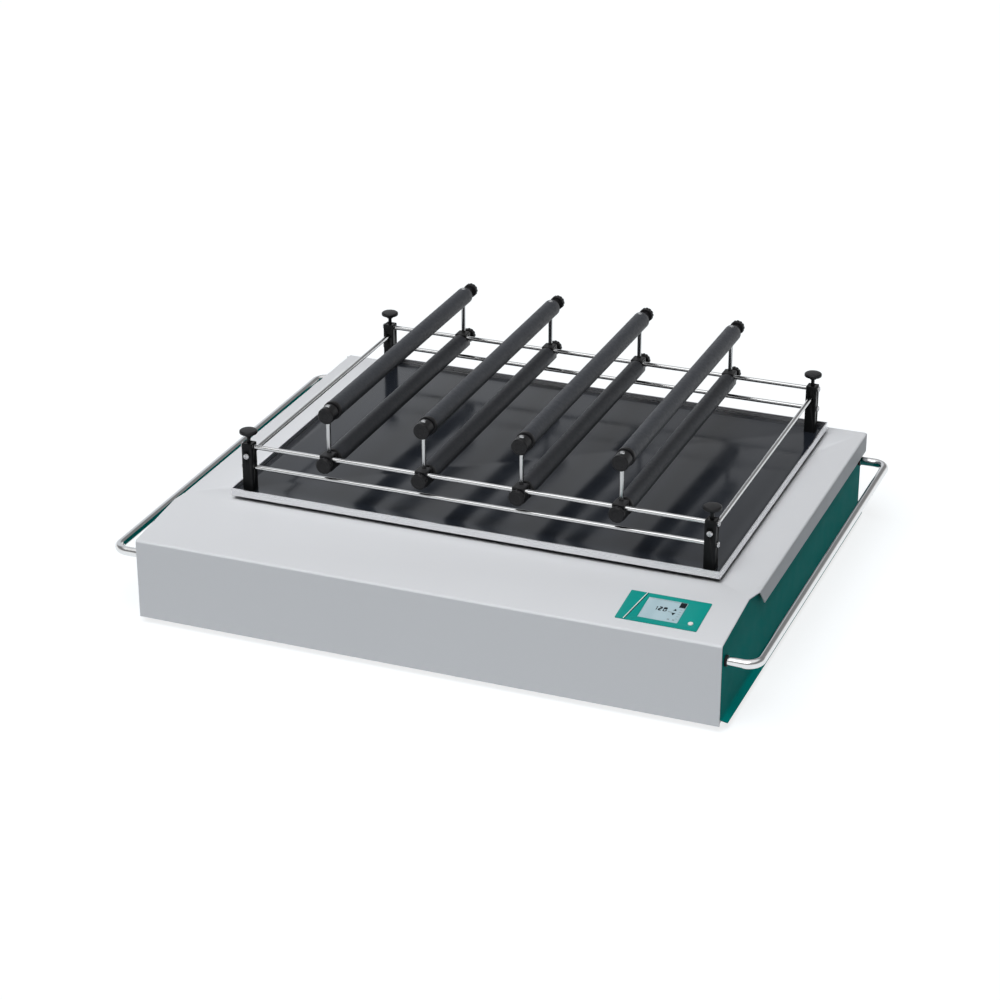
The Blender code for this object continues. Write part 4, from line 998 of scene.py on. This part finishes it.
def make_clamp(index, word, outward, x, y, z):
    """The high bar's end: a whole bored clamp at the front, and a thin cap behind the foam at the rear."""
    half = CLAMP_LENGTH / 2
    inner = -half if word == "front" else half - REAR_CAP_LENGTH
    profile = [(0, inner), (CLAMP_RADIUS - CLAMP_INNER_CHAMFER, inner),
               (CLAMP_RADIUS, CLAMP_INNER_CHAMFER + inner),
               (CLAMP_RADIUS, half - CLAMP_OUTER_CHAMFER_LENGTH),
               (CLAMP_RADIUS - CLAMP_OUTER_CHAMFER, half)] + dimple(CLAMP_DIMPLE, half)
    clamp = lathe(f"clamp_{index}_{word}", eased(profile, CLAMP_EASE), (x, y, z), outward, CLAMP_SIDES)
    if word == "front":
        cutter = bore(UPRIGHT_RADIUS + BORE_ROOM, (x, y, z - CUT_THROUGH), (x, y, z + CUT_THROUGH))
        clamp = drill(clamp, [cutter])
    dress(smooth(clamp), PLASTIC, f"high_set_{index}", "black_plastic")


def make_grip(node, body, outward, head):
    """A scalloped grip with a plain neck and a dimple in its outer face."""
    low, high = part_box(node)
    centre = (low + high) / 2
    start = high.y if outward == "-Y" else low.y
    length = high.y - low.y
    radius = (high.x - low.x) / 2
    neck = length - head
    profile = [(0, 0), (GRIP_NECK_RADIUS, 0), (GRIP_NECK_RADIUS, neck), (radius - GRIP_INNER_CHAMFER, neck),
               (radius, neck + GRIP_INNER_CHAMFER), (radius, length - GRIP_OUTER_CHAMFER_LENGTH),
               (radius - GRIP_OUTER_CHAMFER, length)] + dimple(GRIP_DIMPLE, length)
    grip = lathe(f"{node}_knob", eased(profile, GRIP_EASE), (centre.x, start, centre.z), outward, GRIP_SIDES,
                 GRIP_LOBES, GRIP_LOBE_DEPTH, radius - GRIP_LOBE_MARGIN)
    dress(grip, PLASTIC, body, "black_plastic", node)


def make_bars():
    """Each set's low and high padded bar, with blocks, uprights, clamps and grips."""
    rod_front = middle_of("front_rod_high")
    rod_rear = middle_of("rear_rod_high")
    rear_upright_y = rod_rear.y + UPRIGHT_SETBACK
    half_clamp = CLAMP_LENGTH / 2
    low_start = rod_front.y + LOW_BLOCK_BACK
    low_end = rod_rear.y - LOW_BLOCK_FRONT - GAP
    high_start = rod_front.y + UPRIGHT_SETBACK + half_clamp
    high_end = rear_upright_y + half_clamp - REAR_CAP_LENGTH - GAP
    for index in range(1, 5):
        bar_low, bar_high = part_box(f"low_bar_{index}")
        x = (bar_low.x + bar_high.x) / 2
        low_z = middle_of(f"front_grip_{index}").z
        high_z = middle_of(f"high_grip_{index}").z
        make_padded_bar(f"low_{index}", f"low_set_{index}", x, low_z, low_start, low_end,
                        f"low_bar_{index}")
        make_padded_bar(f"high_{index}", f"high_set_{index}", x, high_z, high_start, high_end,
                        f"high_bar_{index}", rear_upright_y)
        for word, outward, rod_y in (("front", "-Y", rod_front.y), ("rear", "Y", rod_rear.y)):
            upright_y = rod_y + UPRIGHT_SETBACK
            make_block(index, word, x, rod_y, rod_front.z)
            make_upright(index, word, x, upright_y, rod_front.z, bar_high.z)
            make_clamp(index, word, outward, x, upright_y, high_z)
        make_grip(f"front_grip_{index}", f"front_grip_turn_{index}", "-Y", FRONT_GRIP_LENGTH)
        make_grip(f"rear_grip_{index}", f"rear_grip_turn_{index}", "Y", REAR_GRIP_LENGTH)
        make_grip(f"high_grip_{index}", f"high_grip_turn_{index}", "Y", REAR_GRIP_LENGTH)


# Stage: a studio all round, a pale floor, and two broad suns

def white_background(tree, lit, seen):
    """Strength for light, and the strength that the camera, gloss and glass see."""
    path = tree.nodes.new("ShaderNodeLightPath")
    either = tree.nodes.new("ShaderNodeMath")
    either.operation = "MAXIMUM"
    any_of = tree.nodes.new("ShaderNodeMath")
    any_of.operation = "MAXIMUM"
    tree.links.new(path.outputs["Is Camera Ray"], either.inputs[0])
    tree.links.new(path.outputs["Is Glossy Ray"], either.inputs[1])
    tree.links.new(either.outputs[0], any_of.inputs[0])
    tree.links.new(path.outputs["Is Transmission Ray"], any_of.inputs[1])
    strength = tree.nodes.new("ShaderNodeMapRange")
    strength.inputs["To Min"].default_value = lit
    strength.inputs["To Max"].default_value = seen
    tree.links.new(any_of.outputs[0], strength.inputs["Value"])
    return strength.outputs["Result"]


def make_world():
    """Walls, white near the horizon and grey above, a bright ceiling and a panel behind on the left."""
    world = bpy.data.worlds.new("studio")
    bpy.context.scene.world = world
    world.use_nodes = True
    tree = world.node_tree
    back = tree.nodes["Background"]
    coordinates = tree.nodes.new("ShaderNodeTexCoord")
    split = tree.nodes.new("ShaderNodeSeparateXYZ")
    tree.links.new(coordinates.outputs["Generated"], split.inputs["Vector"])
    walls = tree.nodes.new("ShaderNodeValToRGB")
    tree.links.new(split.outputs["Z"], walls.inputs["Fac"])
    while len(walls.color_ramp.elements) < len(WALL_STOPS):
        walls.color_ramp.elements.new(0.5)
    for element, (at, grey) in zip(walls.color_ramp.elements, WALL_STOPS):
        element.position = at
        element.color = (grey, grey, grey, 1)
    facing = tree.nodes.new("ShaderNodeVectorMath")
    facing.operation = "DOT_PRODUCT"
    facing.inputs[1].default_value = PANEL_DIRECTION
    tree.links.new(coordinates.outputs["Generated"], facing.inputs[0])
    panel = tree.nodes.new("ShaderNodeMapRange")
    panel.interpolation_type = "SMOOTHSTEP"
    panel.inputs["From Min"].default_value = PANEL_FADE_FROM
    panel.inputs["From Max"].default_value = PANEL_FADE_TO
    tree.links.new(facing.outputs["Value"], panel.inputs["Value"])
    mix = tree.nodes.new("ShaderNodeMix")
    mix.data_type = "RGBA"
    mix.inputs["B"].default_value = PANEL_COLOUR
    tree.links.new(panel.outputs["Result"], mix.inputs["Factor"])
    tree.links.new(walls.outputs["Color"], mix.inputs["A"])
    tree.links.new(mix.outputs["Result"], back.inputs["Color"])
    tree.links.new(white_background(tree, WORLD_LIGHT, 1.0), back.inputs["Strength"])


def make_floor():
    """A pale floor that takes the shadow, and glows only for the camera, gloss and glass."""
    bm = bmesh.new()
    bmesh.ops.create_grid(bm, x_segments=FLOOR_SQUARES, y_segments=FLOOR_SQUARES, size=FLOOR_HALF_SIZE)
    floor = from_bmesh("studio_floor", bm)
    material = bpy.data.materials.new("studio_floor")
    material.use_nodes = True
    tree = material.node_tree
    shader = tree.nodes["Principled BSDF"]
    shader.inputs["Base Color"].default_value = FLOOR_COLOUR
    shader.inputs["Roughness"].default_value = FLOOR_ROUGHNESS
    shader.inputs["Specular IOR Level"].default_value = 0.0
    shader.inputs["Emission Color"].default_value = (1, 1, 1, 1)
    tree.links.new(white_background(tree, 0.0, FLOOR_GLOW), shader.inputs["Emission Strength"])
    floor.data.materials.append(material)


def aim(obj, target):
    obj.rotation_euler = (Vector(target) - obj.location).to_track_quat("-Z", "Y").to_euler()


def make_sun(name, strength, angle):
    data = bpy.data.lights.new(name, "SUN")
    data.energy = strength
    data.angle = angle
    sun = link(name, data)
    sun.location = SUN_PLACE
    aim(sun, (0, 0, 0))
    return sun


def make_stage():
    """The stronger sun gives no highlights, so that bright steel doesn't clip to white."""
    make_world()
    make_floor()
    make_sun("key_sun", KEY_SUN_STRENGTH, KEY_SUN_ANGLE).visible_glossy = False
    make_sun("soft_sun", SOFT_SUN_STRENGTH, SOFT_SUN_ANGLE)


def make_camera():
    data = bpy.data.cameras.new("camera")
    data.lens = LENS_MM
    data.sensor_width = SENSOR_MM
    camera = link("camera", data)
    level = math.cos(CAMERA_ELEVATION)
    away = Vector((math.sin(CAMERA_AZIMUTH) * level, -math.cos(CAMERA_AZIMUTH) * level,
                   math.sin(CAMERA_ELEVATION)))
    camera.location = CAMERA_AIM + away * CAMERA_DISTANCE
    aim(camera, CAMERA_AIM)
    bpy.context.scene.camera = camera


make_camera()
make_hood()
make_side_panels()
make_handles()
make_feet()
make_control_panel()
make_tray()
make_mat()
for corner_name in CORNERS:
    make_post(corner_name)
    make_corner_knob(corner_name)
make_rods()
make_bars()
make_rear_details()
repaint_kept_nodes()
make_stage()
bpy.context.scene.view_settings.view_transform = "Standard"
